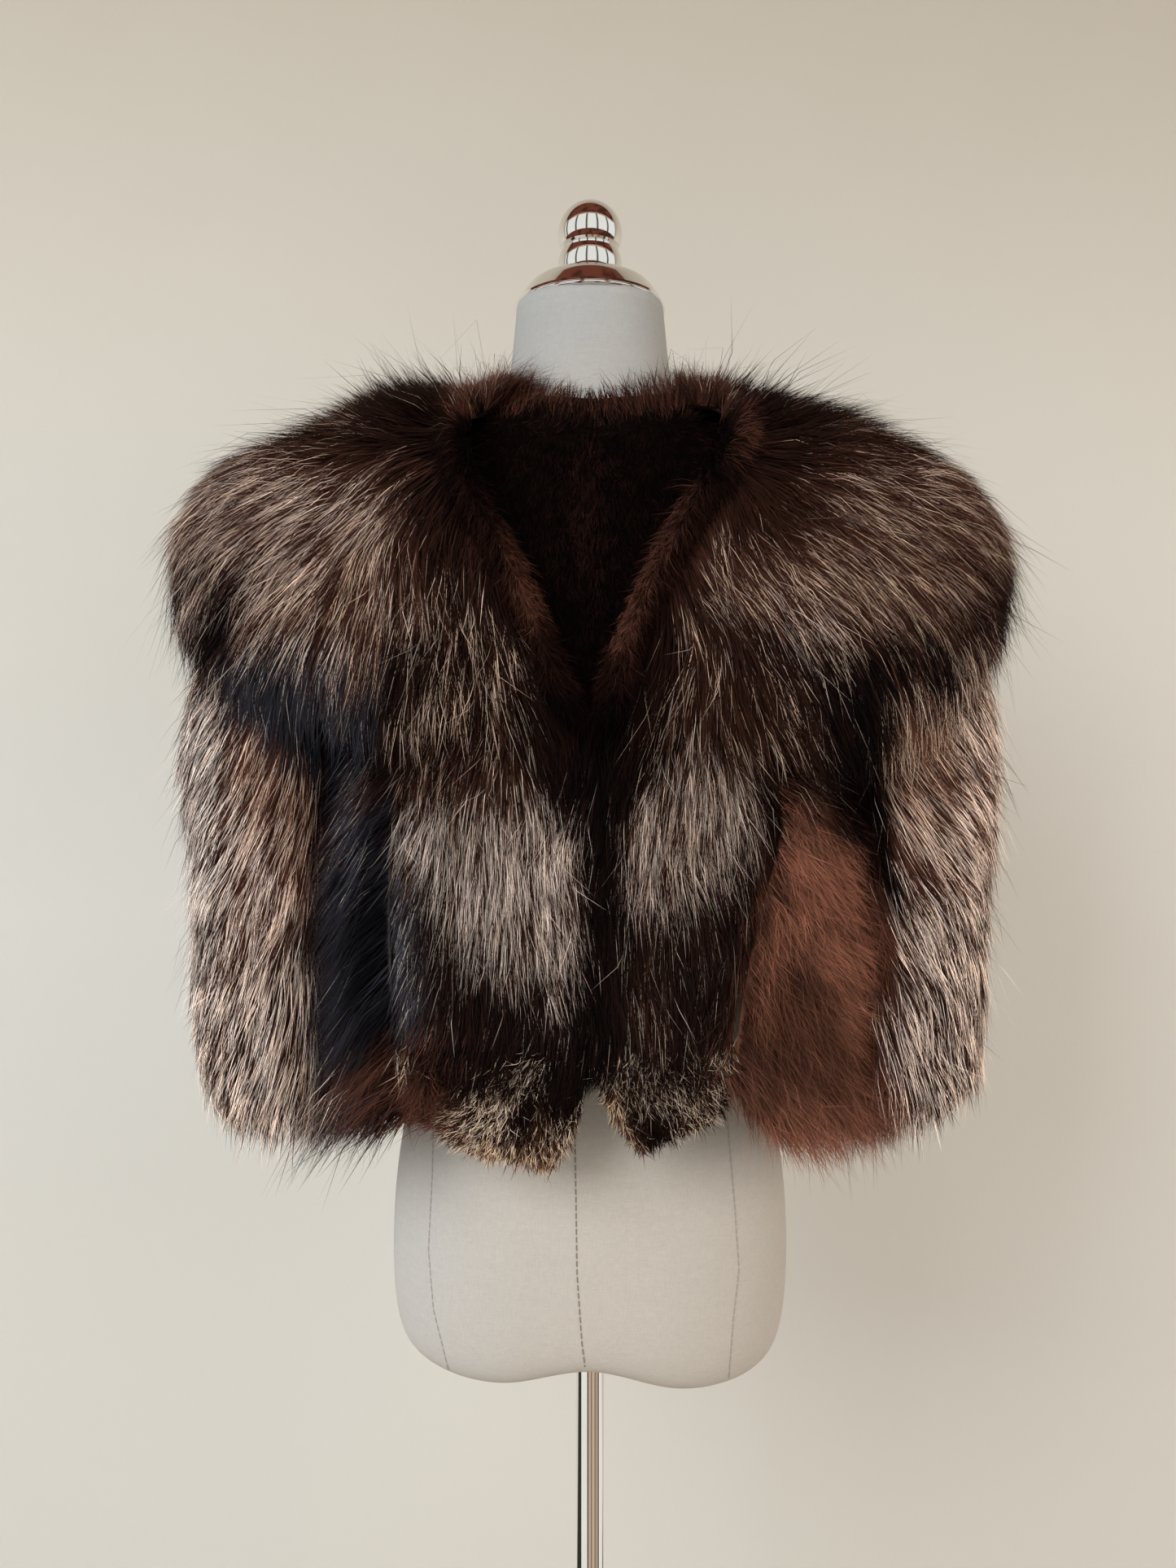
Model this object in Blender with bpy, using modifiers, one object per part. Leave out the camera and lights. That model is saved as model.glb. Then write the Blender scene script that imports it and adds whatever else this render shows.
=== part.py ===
"""Fur capelet with a cape collar and short sleeves, on a limbless dress form with a pole stand.

Metres, +Z up, the front faces -Y. The origin is the middle of the base's underside.
Left and right are as seen from the front. Each skin is a closed wall from the leather
to the reach of its pile, so a wall is as thick as the fur is deep.
"""

import math
from collections import namedtuple

import bmesh
import bpy
from mathutils import Vector

# --- driving dimensions -----------------------------------------------------------------

SEAM_GAP = 0.0003  # between pieces that are sewn to each other
SEAT_GAP = 0.0003  # between hard pieces that sit in or on each other
LAY_GAP = 0.0017  # between the cape's neck edge and the skin under it

FORM_POWER = 2.3  # how square the form is in plan, 2 is an ellipse
BODY_POWER = 2.6
CAPE_POWER = 3.0
SLEEVE_POWER = 2.3

CENTRE_FRONT = 0.0060  # x of the line where the two fronts meet
SHOULDER_SEAM = math.radians(90)  # angle round the body, 0 at the front
UNDERARM = 1.14
SNOUT_SEAM = 0.925

POLE_RADIUS = 0.011
POLE_DEPTH_IN_FORM = 0.060
BASE_RADIUS = 0.165
BASE_EDGE = 0.010
BASE_HEIGHT = 0.016
COLLAR_RADIUS = 0.022
COLLAR_HEIGHT = 0.030

FORM_BOTTOM = 0.653
ARCH_RISE = 0.022  # the underside of the form arches up between its two lobes
ARCH_WIDTH = 0.042
ARCH_FADE = 0.050  # height over which the arch dies out
LOBE_LEAN = 0.035
NECK_TOP = 1.476

BALL_RADIUS = 0.0257
UPPER_BALL = 1.5385
LOWER_BALL = 1.5130

# Horizontal sections. Widths are half widths, and depths are from the middle.
Section = namedtuple("Section", "z width front back")
FORM_SECTIONS = [
    Section(0.653, 0.1200, 0.0780, 0.0860),
    Section(0.658, 0.1370, 0.0920, 0.1000),
    Section(0.672, 0.1490, 0.1010, 0.1090),
    Section(0.700, 0.1550, 0.1060, 0.1140),
    Section(0.745, 0.1565, 0.1070, 0.1150),
    Section(0.800, 0.1540, 0.1055, 0.1140),
    Section(0.860, 0.1430, 0.1000, 0.1060),
    Section(0.920, 0.1280, 0.0940, 0.0940),
    Section(0.980, 0.1190, 0.0910, 0.0860),
    Section(1.040, 0.1230, 0.0980, 0.0850),
    Section(1.100, 0.1350, 0.1130, 0.0880),
    Section(1.160, 0.1460, 0.1270, 0.0940),
    Section(1.220, 0.1500, 0.1210, 0.1010),
    Section(1.270, 0.1550, 0.1060, 0.1060),
    Section(1.310, 0.1600, 0.0910, 0.1070),
    Section(1.338, 0.1570, 0.0790, 0.1010),
    Section(1.358, 0.1340, 0.0700, 0.0920),
    Section(1.374, 0.1040, 0.0630, 0.0820),
    Section(1.388, 0.0800, 0.0590, 0.0720),
    Section(1.402, 0.0680, 0.0570, 0.0640),
    Section(1.425, 0.0635, 0.0580, 0.0600),
    Section(1.450, 0.0610, 0.0580, 0.0590),
    Section(1.476, 0.0585, 0.0575, 0.0585),
]

# The leather side of the body skins, and how far their pile reaches out from it.
BodySection = namedtuple("BodySection", "z width front back pile_front pile_side pile_back")
BODY_SECTIONS = [
    BodySection(0.800, 0.1605, 0.1360, 0.1290, 0.026, 0.0150, 0.027),
    BodySection(0.900, 0.1590, 0.1370, 0.1250, 0.029, 0.0160, 0.028),
    BodySection(1.000, 0.1560, 0.1370, 0.1180, 0.030, 0.0190, 0.028),
    BodySection(1.080, 0.1550, 0.1360, 0.1130, 0.026, 0.0195, 0.026),
    BodySection(1.140, 0.1560, 0.1345, 0.1100, 0.018, 0.0190, 0.020),
    BodySection(1.200, 0.1570, 0.1290, 0.1085, 0.015, 0.0150, 0.014),
    BodySection(1.270, 0.1595, 0.1100, 0.1100, 0.013, 0.0130, 0.013),
    BodySection(1.310, 0.1640, 0.0950, 0.1110, 0.012, 0.0120, 0.013),
    BodySection(1.338, 0.1610, 0.0830, 0.1050, 0.012, 0.0120, 0.013),
    BodySection(1.358, 0.1380, 0.0740, 0.0960, 0.012, 0.0115, 0.013),
    BodySection(1.374, 0.1080, 0.0670, 0.0860, 0.011, 0.0115, 0.012),
    BodySection(1.388, 0.0840, 0.0620, 0.0750, 0.010, 0.0110, 0.011),
    BodySection(1.402, 0.0690, 0.0580, 0.0650, 0.010, 0.0100, 0.010),
    BodySection(1.425, 0.0641, 0.0586, 0.0606, 0.010, 0.0100, 0.010),
]

# The leather side of the cape, which lies over the body and the sleeve heads.
CAPE_SECTIONS = [
    Section(1.080, 0.3060, 0.1690, 0.1500),
    Section(1.150, 0.3060, 0.1610, 0.1480),
    Section(1.210, 0.3050, 0.1500, 0.1460),
    Section(1.260, 0.3055, 0.1370, 0.1440),
    Section(1.295, 0.2980, 0.1250, 0.1400),
    Section(1.320, 0.2820, 0.1150, 0.1340),
    Section(1.337, 0.2580, 0.1070, 0.1280),
    Section(1.351, 0.2270, 0.0990, 0.1210),
    Section(1.363, 0.1900, 0.0930, 0.1130),
    Section(1.374, 0.1530, 0.0870, 0.1050),
    Section(1.385, 0.1230, 0.0820, 0.0980),
    Section(1.394, 0.1030, 0.0780, 0.0900),
    Section(1.404, 0.0910, 0.0740, 0.0835),
    Section(1.414, 0.0850, 0.0720, 0.0790),
]
CAPE_PILE = 0.024
CAPE_PILE_NECK = 0.015
CAPE_PILE_HEM = 0.012
ROLL_WIDTH = 0.026
ROLL_PILE = 0.014  # at the roll's edges
ROLL_CROWN = 0.015  # and how much more in its middle
ROLL_NECK_SHARE = 0.5  # of both, where the roll meets the neck

# Lines round the garment: a height at each angle, and on both sides where they differ.
Around = namedtuple("Around", "angle left right")
BODY_HEM = [Around(0, 0.842, 0.842), Around(90, 0.836, 0.836), Around(180, 0.840, 0.840)]
BODY_NECK = [
    Around(0, 1.388, 1.388),
    Around(45, 1.396, 1.396),
    Around(90, 1.410, 1.410),
    Around(180, 1.418, 1.418),
]
CAPE_NECK = [
    Around(0, 1.386, 1.386),
    Around(60, 1.394, 1.394),
    Around(90, 1.404, 1.404),
    Around(180, 1.412, 1.412),
]
CAPE_HEM = [
    Around(0, 1.146, 1.146),
    Around(8, 1.146, 1.152),
    Around(19, 1.148, 1.110),
    Around(43, 1.170, 1.147),
    Around(65, 1.196, 1.180),
    Around(90, 1.222, 1.207),
    Around(120, 1.190, 1.185),
    Around(150, 1.160, 1.158),
    Around(180, 1.148, 1.148),
]

# Lines up the garment: the x of each at a height.
Rising = namedtuple("Rising", "z left right")
CAPE_EDGE = [
    Rising(1.140, -0.0010, 0.0028),
    Rising(1.160, -0.0060, 0.0032),
    Rising(1.180, -0.0135, 0.0060),
    Rising(1.208, -0.0240, 0.0125),
    Rising(1.234, -0.0365, 0.0340),
    Rising(1.256, -0.0475, 0.0435),
    Rising(1.285, -0.0660, 0.0565),
    Rising(1.310, -0.0780, 0.0790),
    Rising(1.350, -0.0800, 0.0850),
    Rising(1.390, -0.0810, 0.0880),
]
FRONT_SEAM = [
    Rising(0.840, -0.112, 0.086),
    Rising(0.925, -0.118, 0.088),
    Rising(1.000, -0.120, 0.100),
    Rising(1.070, -0.120, 0.116),
    Rising(1.140, -0.118, 0.118),
]

# Outlines of the pointed head ends, below their seam.
Snout = namedtuple("Snout", "z outer inner pile")
SNOUT_LEFT = [
    Snout(0.842, -0.036, -0.026, 0.012),
    Snout(0.851, -0.082, -0.020, 0.016),
    Snout(0.868, -0.108, -0.0105, 0.019),
    Snout(0.895, -0.1155, -0.0055, 0.023),
]
SNOUT_RIGHT = [
    Snout(0.854, 0.0410, 0.0330, 0.012),
    Snout(0.866, 0.0620, 0.0240, 0.016),
    Snout(0.882, 0.0810, 0.0145, 0.019),
    Snout(0.903, 0.0840, 0.0090, 0.022),
]

# Sections across the sleeve. The first swing round the underarm, the rest drop from it.
SleeveSection = namedtuple("SleeveSection", "bend drop near far depth wall wall_near")
PIVOT = Vector((0.1785, -0.004, UNDERARM))
ARMHOLE = SleeveSection(0, 0, 0.0103, 0.2097, 0.0847, 0.011, 0.008)
ARMHOLE_WALL = 0.024
SLEEVE_SECTIONS = [
    SleeveSection(22.5, 0.000, 0.012, 0.2000, 0.088, 0.014, 0.009),
    SleeveSection(45.0, 0.000, 0.010, 0.1680, 0.091, 0.015, 0.009),
    SleeveSection(67.5, 0.000, 0.006, 0.1340, 0.094, 0.016, 0.009),
    SleeveSection(90.0, 0.000, 0.000, 0.1390, 0.097, 0.019, 0.009),
    SleeveSection(90.0, 0.070, 0.000, 0.1300, 0.101, 0.020, 0.009),
    SleeveSection(90.0, 0.140, 0.000, 0.1270, 0.103, 0.020, 0.009),
    SleeveSection(90.0, 0.210, 0.000, 0.1250, 0.103, 0.020, 0.009),
    SleeveSection(90.0, 0.260, 0.000, 0.1190, 0.101, 0.018, 0.009),
    SleeveSection(90.0, 0.290, 0.001, 0.1120, 0.097, 0.015, 0.008),
    SleeveSection(90.0, 0.305, 0.003, 0.0980, 0.090, 0.010, 0.006),
]

# Where the walls are divided. Heights below the underarm, and shares of the way from
# there to the neck; shares of the way down the cape.
BODY_HEIGHTS = [0.840, 0.925, 1.000, 1.070, 1.140]
BODY_SHARES = [0.15, 0.30, 0.45, 0.60, 0.72, 0.82, 0.89, 0.95, 1.00]
CAPE_SHARES = [0.00, 0.03, 0.05, 0.08, 0.12, 0.18, 0.27, 0.39, 0.53, 0.69, 0.86, 1.00]
FRONT_COLUMNS = 5
SIDE_COLUMNS = 5
BACK_COLUMNS = 14
FLAP_COLUMNS = 8
ROLL_COLUMNS = 4
SLEEVE_COLUMNS = 20
FORM_COLUMNS = 32

COLOURS = {
    "linen": ((0.66, 0.66, 0.66), 0.85, 0.0),
    "chrome": ((0.80, 0.79, 0.77), 0.08, 1.0),
    "silver_fur": ((0.22, 0.17, 0.14), 0.60, 0.0),
    "dark_fur": ((0.018, 0.012, 0.010), 0.60, 0.0),
    "blue_black_fur": ((0.016, 0.018, 0.026), 0.55, 0.0),
    "brown_wool_fur": ((0.12, 0.055, 0.032), 0.75, 0.0),
    "brindled_fur": ((0.14, 0.09, 0.055), 0.65, 0.0),
}


# --- tables and curves ------------------------------------------------------------------


def slopes_of(xs, ys):
    """Slopes at the points of a smooth curve that doesn't overshoot them."""
    steps = [(b - a) / (q - p) for a, b, p, q in zip(ys, ys[1:], xs, xs[1:])]
    inner = [
        0.0 if before * after <= 0 else 2 * before * after / (before + after)
        for before, after in zip(steps, steps[1:])
    ]
    return [steps[0], *inner, steps[-1]]


def read_row(rows, key, at):
    """The row of a table at `at`, each column on a smooth curve through its rows."""
    keys = [getattr(row, key) for row in rows]
    at = min(max(at, keys[0]), keys[-1])
    index = max(i for i in range(len(keys) - 1) if keys[i] <= at)
    low, high = keys[index], keys[index + 1]
    share = (at - low) / (high - low)
    values = []
    for column in zip(*rows):
        slopes = slopes_of(keys, column)
        here, there = column[index], column[index + 1]
        bend_here = slopes[index] * (high - low)
        bend_there = slopes[index + 1] * (high - low)
        cubic = (2 * here - 2 * there + bend_here + bend_there) * share**3
        square = (3 * there - 3 * here - 2 * bend_here - bend_there) * share**2
        values.append(cubic + square + bend_here * share + here)
    return type(rows[0])(*values)


def around(rows, angle):
    """The height of a line round the garment, at a signed angle from the front."""
    row = read_row(rows, "angle", abs(math.degrees(angle)))
    return row.left if angle < 0 else row.right


def rising(rows, z, side):
    """The x of a line up the garment, on the side whose sign is given."""
    row = read_row(rows, "z", z)
    return row.left if side < 0 else row.right


def spread(start, end, count):
    """Evenly spaced values from start to end."""
    return [start + (end - start) * i / (count - 1) for i in range(count)]


def ring_point(section, angle, power):
    """A point on a section, at an angle from the front, +X at 90 degrees."""
    sine, cosine = math.sin(angle), math.cos(angle)
    depth = section.front if cosine > 0 else section.back
    x = section.width * math.copysign(abs(sine) ** (2 / power), sine)
    y = -depth * math.copysign(abs(cosine) ** (2 / power), cosine)
    return Vector((x, y, section.z))


def angle_at(section, x, power):
    """The angle of the point in front that has this x."""
    share = min(abs(x) / section.width, 1.0)
    return math.copysign(math.asin(share ** (power / 2)), x)


def normal_on(point_at, z, angle):
    """The outward normal of a surface that point_at(z, angle) gives."""
    step = 0.002
    up = point_at(z + step, angle) - point_at(z - step, angle)
    turn = 0.02
    along = point_at(z, angle + turn) - point_at(z, angle - turn)
    return along.cross(up).normalized()


# --- surfaces of the garment ------------------------------------------------------------


def body_leather(z, angle):
    """The leather side of the body skins."""
    return ring_point(read_row(BODY_SECTIONS, "z", z), angle, BODY_POWER)


def body_pile(z, angle):
    """How far the pile reaches out from the body's leather."""
    section = read_row(BODY_SECTIONS, "z", z)
    facing = math.cos(angle)
    end = section.pile_front if facing > 0 else section.pile_back
    return section.pile_side + (end - section.pile_side) * abs(facing)


def body_pair(z, angle, pile=None):
    """A point of the body's leather, and the tip of the pile above it."""
    leather = body_leather(z, angle)
    reach = body_pile(z, angle) if pile is None else pile
    return leather, leather + normal_on(body_leather, z, angle) * reach


def body_height(station, angle):
    """The height of a station, counted up from the hem, at an angle."""
    if station == 0:
        return around(BODY_HEM, angle)
    if station < len(BODY_HEIGHTS):
        return BODY_HEIGHTS[station]
    share = BODY_SHARES[station - len(BODY_HEIGHTS)]
    return UNDERARM + (around(BODY_NECK, angle) - UNDERARM) * share


def seam_angle(rows, z, side):
    """The angle at which a rising line crosses the body at this height."""
    section = read_row(BODY_SECTIONS, "z", z)
    return angle_at(section, rising(rows, z, side), BODY_POWER)


def centre_angle(z):
    """The angle of the line where the fronts meet."""
    return angle_at(read_row(BODY_SECTIONS, "z", z), CENTRE_FRONT, BODY_POWER)


def front_angles(z, side):
    """The columns of a front skin, from the centre to the side seam."""
    return spread(centre_angle(z), seam_angle(FRONT_SEAM, z, side), FRONT_COLUMNS)


def side_angles(z, side):
    """The columns of a side skin, from the front seam to the side of the body."""
    return spread(seam_angle(FRONT_SEAM, z, side), side * SHOULDER_SEAM, SIDE_COLUMNS)


def cape_leather(z, angle):
    """The leather side of the cape."""
    return ring_point(read_row(CAPE_SECTIONS, "z", z), angle, CAPE_POWER)


def cape_height(share, angle):
    """The height of a point this share of the way down the cape."""
    top = around(CAPE_NECK, angle)
    return top + (around(CAPE_HEM, angle) - top) * share


def cape_pile(share):
    """The reach of the cape's pile: less at the neck seam and at its free edge."""
    neck = CAPE_PILE_NECK + (CAPE_PILE - CAPE_PILE_NECK) * min(share / 0.12, 1.0)
    fade = max((share - 0.80) / 0.20, 0.0)
    return neck + (CAPE_PILE_HEM - CAPE_PILE) * fade**2


def cape_pair(share, angle, pile):
    """A point of the cape's leather, and the tip of the pile above it."""
    z = cape_height(share, angle)
    if share == 0:
        tip = body_pair(z, angle)[1]
        leather = tip + normal_on(body_leather, z, angle) * LAY_GAP
        out = (normal_on(body_leather, z, angle) + Vector((0, 0, 1))).normalized()
        return leather, leather + out * pile
    leather = cape_leather(z, angle)
    return leather, leather + normal_on(cape_leather, z, angle) * pile


def cape_edge_angle(share, side, inset):
    """The angle of the cape's front edge, or of a line this far in from it."""
    z = cape_height(share, side * math.radians(10))
    section = read_row(CAPE_SECTIONS, "z", z)
    x = rising(CAPE_EDGE, z, side) + side * inset
    return angle_at(section, min(abs(x), section.width * 0.93) * side, CAPE_POWER)


# --- meshes -----------------------------------------------------------------------------


def object_from(name, mesh, collection):
    """Links a new object that wears this mesh."""
    made = bpy.data.objects.new(name, mesh)
    collection.objects.link(made)
    return made


def finish_mesh(name, shape, collection, smooth_angle=40):
    """Turns a bmesh into an object, with its faces outwards and round parts smooth."""
    bmesh.ops.recalc_face_normals(shape, faces=shape.faces)
    mesh = bpy.data.meshes.new(name)
    shape.to_mesh(mesh)
    shape.free()
    mesh.shade_smooth()
    mesh.set_sharp_from_angle(angle=math.radians(smooth_angle))
    return object_from(name, mesh, collection)


def draw_in(rows):
    """Moves the rim of a grid of points in by half a seam's gap."""
    half = SEAM_GAP / 2

    def towards(point, other):
        return point + (other - point).normalized() * half

    for row in rows:
        row[0] = towards(row[0], row[1])
        row[-1] = towards(row[-1], row[-2])
    rows[0] = [towards(point, above) for point, above in zip(rows[0], rows[1])]
    rows[-1] = [towards(point, below) for point, below in zip(rows[-1], rows[-2])]
    return rows


def panel(name, pairs, collection):
    """A closed wall from rows of (leather, tip) pairs, with a seam's gap all round.

    A seam's two rims are split along the same diagonals, so they never cross.
    """
    shape = bmesh.new()
    leather = draw_in([[pair[0] for pair in row] for row in pairs])
    tips = draw_in([[pair[1] for pair in row] for row in pairs])
    under = [[shape.verts.new(point) for point in row] for row in leather]
    over = [[shape.verts.new(point) for point in row] for row in tips]
    for grid in (under, over):
        for low, high in zip(grid, grid[1:]):
            for a, b, c, d in zip(low, low[1:], high[1:], high):
                shape.faces.new((a, b, c, d))

    def rim(line_under, line_over):
        for i in range(len(line_under) - 1):
            shape.faces.new((line_under[i], line_over[i], line_over[i + 1]))
            shape.faces.new((line_under[i], line_over[i + 1], line_under[i + 1]))

    for end in (0, -1):
        rim(under[end], over[end])
        rim([row[end] for row in under], [row[end] for row in over])
    return finish_mesh(name, shape, collection)


def tube(name, outer, inner, collection):
    """A closed wall between two stacks of rings, open at both ends."""
    shape = bmesh.new()
    skins = [[[shape.verts.new(p) for p in ring] for ring in stack] for stack in (outer, inner)]
    for skin in skins:
        for low, high in zip(skin, skin[1:]):
            for i in range(len(low)):
                shape.faces.new((low[i - 1], low[i], high[i], high[i - 1]))
    for end in (0, -1):
        out, into = skins[0][end], skins[1][end]
        for i in range(len(out)):
            shape.faces.new((out[i - 1], out[i], into[i], into[i - 1]))
    return finish_mesh(name, shape, collection)


def turned(name, profile, closed, collection, steps=32):
    """A turned shape. The profile runs down its outer side, at +X."""
    mesh = bpy.data.meshes.new(name)
    edges = [(i, i + 1) for i in range(len(profile) - 1)]
    if closed:
        edges.append((len(profile) - 1, 0))
    mesh.from_pydata([(radius, 0, z) for radius, z in profile], edges, [])
    made = object_from(name, mesh, collection)
    screw = made.modifiers.new("Turn", "SCREW")
    screw.steps = steps
    screw.render_steps = steps
    screw.use_merge_vertices = True
    screw.merge_threshold = 0.00005
    screw.use_smooth_shade = True
    return made


def arc(centre, radius, start, end, count):
    """Points of a profile round a ball, by degrees up from its widest."""
    return [
        (radius * math.cos(math.radians(a)), centre + radius * math.sin(math.radians(a)))
        for a in spread(start, end, count)
    ]


# --- the stand and the form -------------------------------------------------------------


def form_point(section, angle):
    """A point of the form, with the arch and the two lobes of its underside."""
    point = ring_point(section, angle, FORM_POWER)
    fade = max(1 - (section.z - FORM_BOTTOM) / ARCH_FADE, 0)
    arch = ARCH_RISE * math.exp(-((point.x / ARCH_WIDTH) ** 2))
    point.z += (arch - LOBE_LEAN * point.x) * fade
    return point


def make_torso(parts, cutters):
    """The limbless form, whole and smooth, with the socket that its pole goes up into."""
    shape = bmesh.new()
    angles = [math.tau * i / FORM_COLUMNS for i in range(FORM_COLUMNS)]
    rings = [[shape.verts.new(form_point(s, a)) for a in angles] for s in FORM_SECTIONS]
    for low, high in zip(rings, rings[1:]):
        for i in range(FORM_COLUMNS):
            shape.faces.new((low[i - 1], low[i], high[i], high[i - 1]))
    shape.faces.new(rings[-1])
    middle = shape.verts.new((0, 0, FORM_BOTTOM + ARCH_RISE))
    for i in range(FORM_COLUMNS):
        shape.faces.new((rings[0][i - 1], rings[0][i], middle))
    torso = finish_mesh("torso", shape, parts, smooth_angle=60)
    socket_top = FORM_BOTTOM + ARCH_RISE + POLE_DEPTH_IN_FORM
    length = 0.2
    bpy.ops.mesh.primitive_cylinder_add(
        vertices=24,
        radius=POLE_RADIUS + SEAT_GAP,
        depth=length,
        location=(0, 0, socket_top - length / 2),
    )
    cut(torso, as_cutter("pole_socket", cutters))
    return torso


def as_cutter(name, cutters):
    """Names the active object as a cutter and moves it to the cutters' collection."""
    made = bpy.context.active_object
    made.name = name
    for collection in list(made.users_collection):
        collection.objects.unlink(made)
    cutters.objects.link(made)
    made.hide_render = True
    made.display_type = "WIRE"
    return made


def cut(made, cutter):
    """Takes the cutter out of an object."""
    boolean = made.modifiers.new(cutter.name, "BOOLEAN")
    boolean.operation = "DIFFERENCE"
    boolean.solver = "EXACT"
    boolean.object = cutter


def make_neck_cap(parts):
    """The polished dome that closes the neck."""
    rim = NECK_TOP + SEAT_GAP
    crown = spread(8, 62, 6)
    height, radius = 0.0245, 0.0592
    dome = [
        (radius * math.cos(math.radians(a)), rim + 0.002 + height * math.sin(math.radians(a)))
        for a in reversed(crown)
    ]
    top = dome[0][1]
    profile = [(0, top), *dome, (radius, rim + 0.002), (radius, rim), (0, rim)]
    return turned("neck_cap", profile, False, parts, steps=40), top


def make_finial(parts, seat):
    """Two stacked balls with a groove between, on a short foot."""
    foot = seat + SEAT_GAP
    groove = (0.0222, (UPPER_BALL + LOWER_BALL) / 2)
    profile = [
        *arc(UPPER_BALL, BALL_RADIUS, 90, -22, 10),
        groove,
        *arc(LOWER_BALL, BALL_RADIUS, 22, -28, 5),
        (0.0205, foot),
        (0, foot),
    ]
    profile[0] = (0, UPPER_BALL + BALL_RADIUS)
    return turned("finial", profile, False, parts, steps=32)


def make_pole(parts):
    """The tube that carries the form, from the base up into the form's socket."""
    low = BASE_HEIGHT + SEAT_GAP
    high = FORM_BOTTOM + ARCH_RISE + POLE_DEPTH_IN_FORM - SEAT_GAP
    bpy.ops.mesh.primitive_cylinder_add(
        vertices=24, radius=POLE_RADIUS, depth=high - low, location=(0, 0, (low + high) / 2)
    )
    pole = bpy.context.active_object
    pole.name = "pole"
    for collection in list(pole.users_collection):
        collection.objects.unlink(pole)
    parts.objects.link(pole)
    pole.data.shade_smooth()
    pole.data.set_sharp_from_angle(angle=math.radians(40))
    return pole


def make_socket_collar(parts):
    """The ring round the foot of the pole."""
    low, high = BASE_HEIGHT + SEAT_GAP, BASE_HEIGHT + COLLAR_HEIGHT
    bore = POLE_RADIUS + SEAT_GAP
    step = 0.004
    profile = [
        (bore, high),
        (COLLAR_RADIUS - step, high),
        (COLLAR_RADIUS, high - step),
        (COLLAR_RADIUS, low),
        (bore, low),
    ]
    return turned("socket_collar", profile, True, parts, steps=24)


def make_base(parts):
    """The plain weighted disc that stands on the floor."""
    edge = 0.003
    flat = 0.030
    profile = [
        (0, BASE_HEIGHT),
        (flat, BASE_HEIGHT),
        (BASE_RADIUS * 0.6, BASE_HEIGHT - 0.0015),
        (BASE_RADIUS - edge, BASE_EDGE),
        (BASE_RADIUS, BASE_EDGE - edge),
        (BASE_RADIUS, 0),
        (0, 0),
    ]
    return turned("base", profile, False, parts, steps=48)


# --- the garment ------------------------------------------------------------------------


def make_front(name, side, parts):
    """A front skin, from the seam of its head end up to the yoke."""
    pairs = []
    for station in range(1, len(BODY_HEIGHTS)):
        z = BODY_HEIGHTS[station]
        pairs.append([body_pair(z, angle) for angle in front_angles(z, side)])
    return panel(name, pairs, parts)


def make_snout(name, rows, side, parts):
    """The pointed head end of a front skin."""
    pairs = []
    for row in rows:
        section = read_row(BODY_SECTIONS, "z", row.z)
        start = angle_at(section, row.inner, BODY_POWER)
        end = angle_at(section, row.outer, BODY_POWER)
        angles = spread(start, end, FRONT_COLUMNS)
        pairs.append([body_pair(row.z, angle, row.pile) for angle in angles])
    pairs.append([body_pair(SNOUT_SEAM, angle) for angle in front_angles(SNOUT_SEAM, side)])
    return panel(name, pairs, parts)


def make_side(name, side, parts):
    """A side skin, from the front seam round to the side of the body."""
    pairs = []
    for station in range(len(BODY_HEIGHTS)):
        angles = side_angles(BODY_HEIGHTS[station], side)
        pairs.append([body_pair(body_height(station, a), a) for a in angles])
    return panel(name, pairs, parts)


def make_yoke(name, side, parts):
    """Half of the yoke, from the underarm to the neck."""
    angles = front_angles(UNDERARM, side)[:-1] + side_angles(UNDERARM, side)
    pairs = []
    for station in range(len(BODY_HEIGHTS) - 1, len(BODY_HEIGHTS) + len(BODY_SHARES)):
        row = []
        for column, angle in enumerate(angles):
            z = body_height(station, angle)
            row.append(body_pair(z, centre_angle(z) if column == 0 else angle))
        pairs.append(row)
    return panel(name, pairs, parts)


def make_back(parts):
    """The back skin, from the hem to the neck, side seam to side seam."""
    angles = spread(SHOULDER_SEAM, math.tau - SHOULDER_SEAM, BACK_COLUMNS)
    pairs = []
    for station in range(len(BODY_HEIGHTS) + len(BODY_SHARES)):
        row = []
        for angle in angles:
            signed = angle if angle <= math.pi else angle - math.tau
            row.append(body_pair(body_height(station, signed), signed))
        pairs.append(row)
    return panel("back", pairs, parts)


def make_cape_flap(name, side, parts):
    """Half of the cape, from its rolled edge over the shoulder."""
    pairs = []
    for share in reversed(CAPE_SHARES):
        start = cape_edge_angle(share, side, ROLL_WIDTH)
        angles = spread(start, side * SHOULDER_SEAM, FLAP_COLUMNS)
        pairs.append([cape_pair(share, angle, cape_pile(share)) for angle in angles])
    return panel(name, pairs, parts)


def make_cape_back(parts):
    """The part of the cape that lies over the back."""
    angles = spread(SHOULDER_SEAM, math.tau - SHOULDER_SEAM, BACK_COLUMNS)
    pairs = []
    for share in reversed(CAPE_SHARES):
        row = []
        for angle in angles:
            signed = angle if angle <= math.pi else angle - math.tau
            row.append(cape_pair(share, signed, cape_pile(share)))
        pairs.append(row)
    return panel("cape_back", pairs, parts)


def make_roll(name, side, parts):
    """The rolled front edge of the cape."""
    pairs = []
    for share in reversed(CAPE_SHARES):
        start = cape_edge_angle(share, side, 0)
        end = cape_edge_angle(share, side, ROLL_WIDTH)
        full = min(ROLL_NECK_SHARE + share / 0.18, 1.0)
        row = []
        for column, angle in enumerate(spread(start, end, ROLL_COLUMNS)):
            crown = math.sin(math.pi * column / (ROLL_COLUMNS - 1))
            row.append(cape_pair(share, angle, (ROLL_PILE + ROLL_CROWN * crown) * full))
        pairs.append(row)
    return panel(name, pairs, parts)


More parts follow.
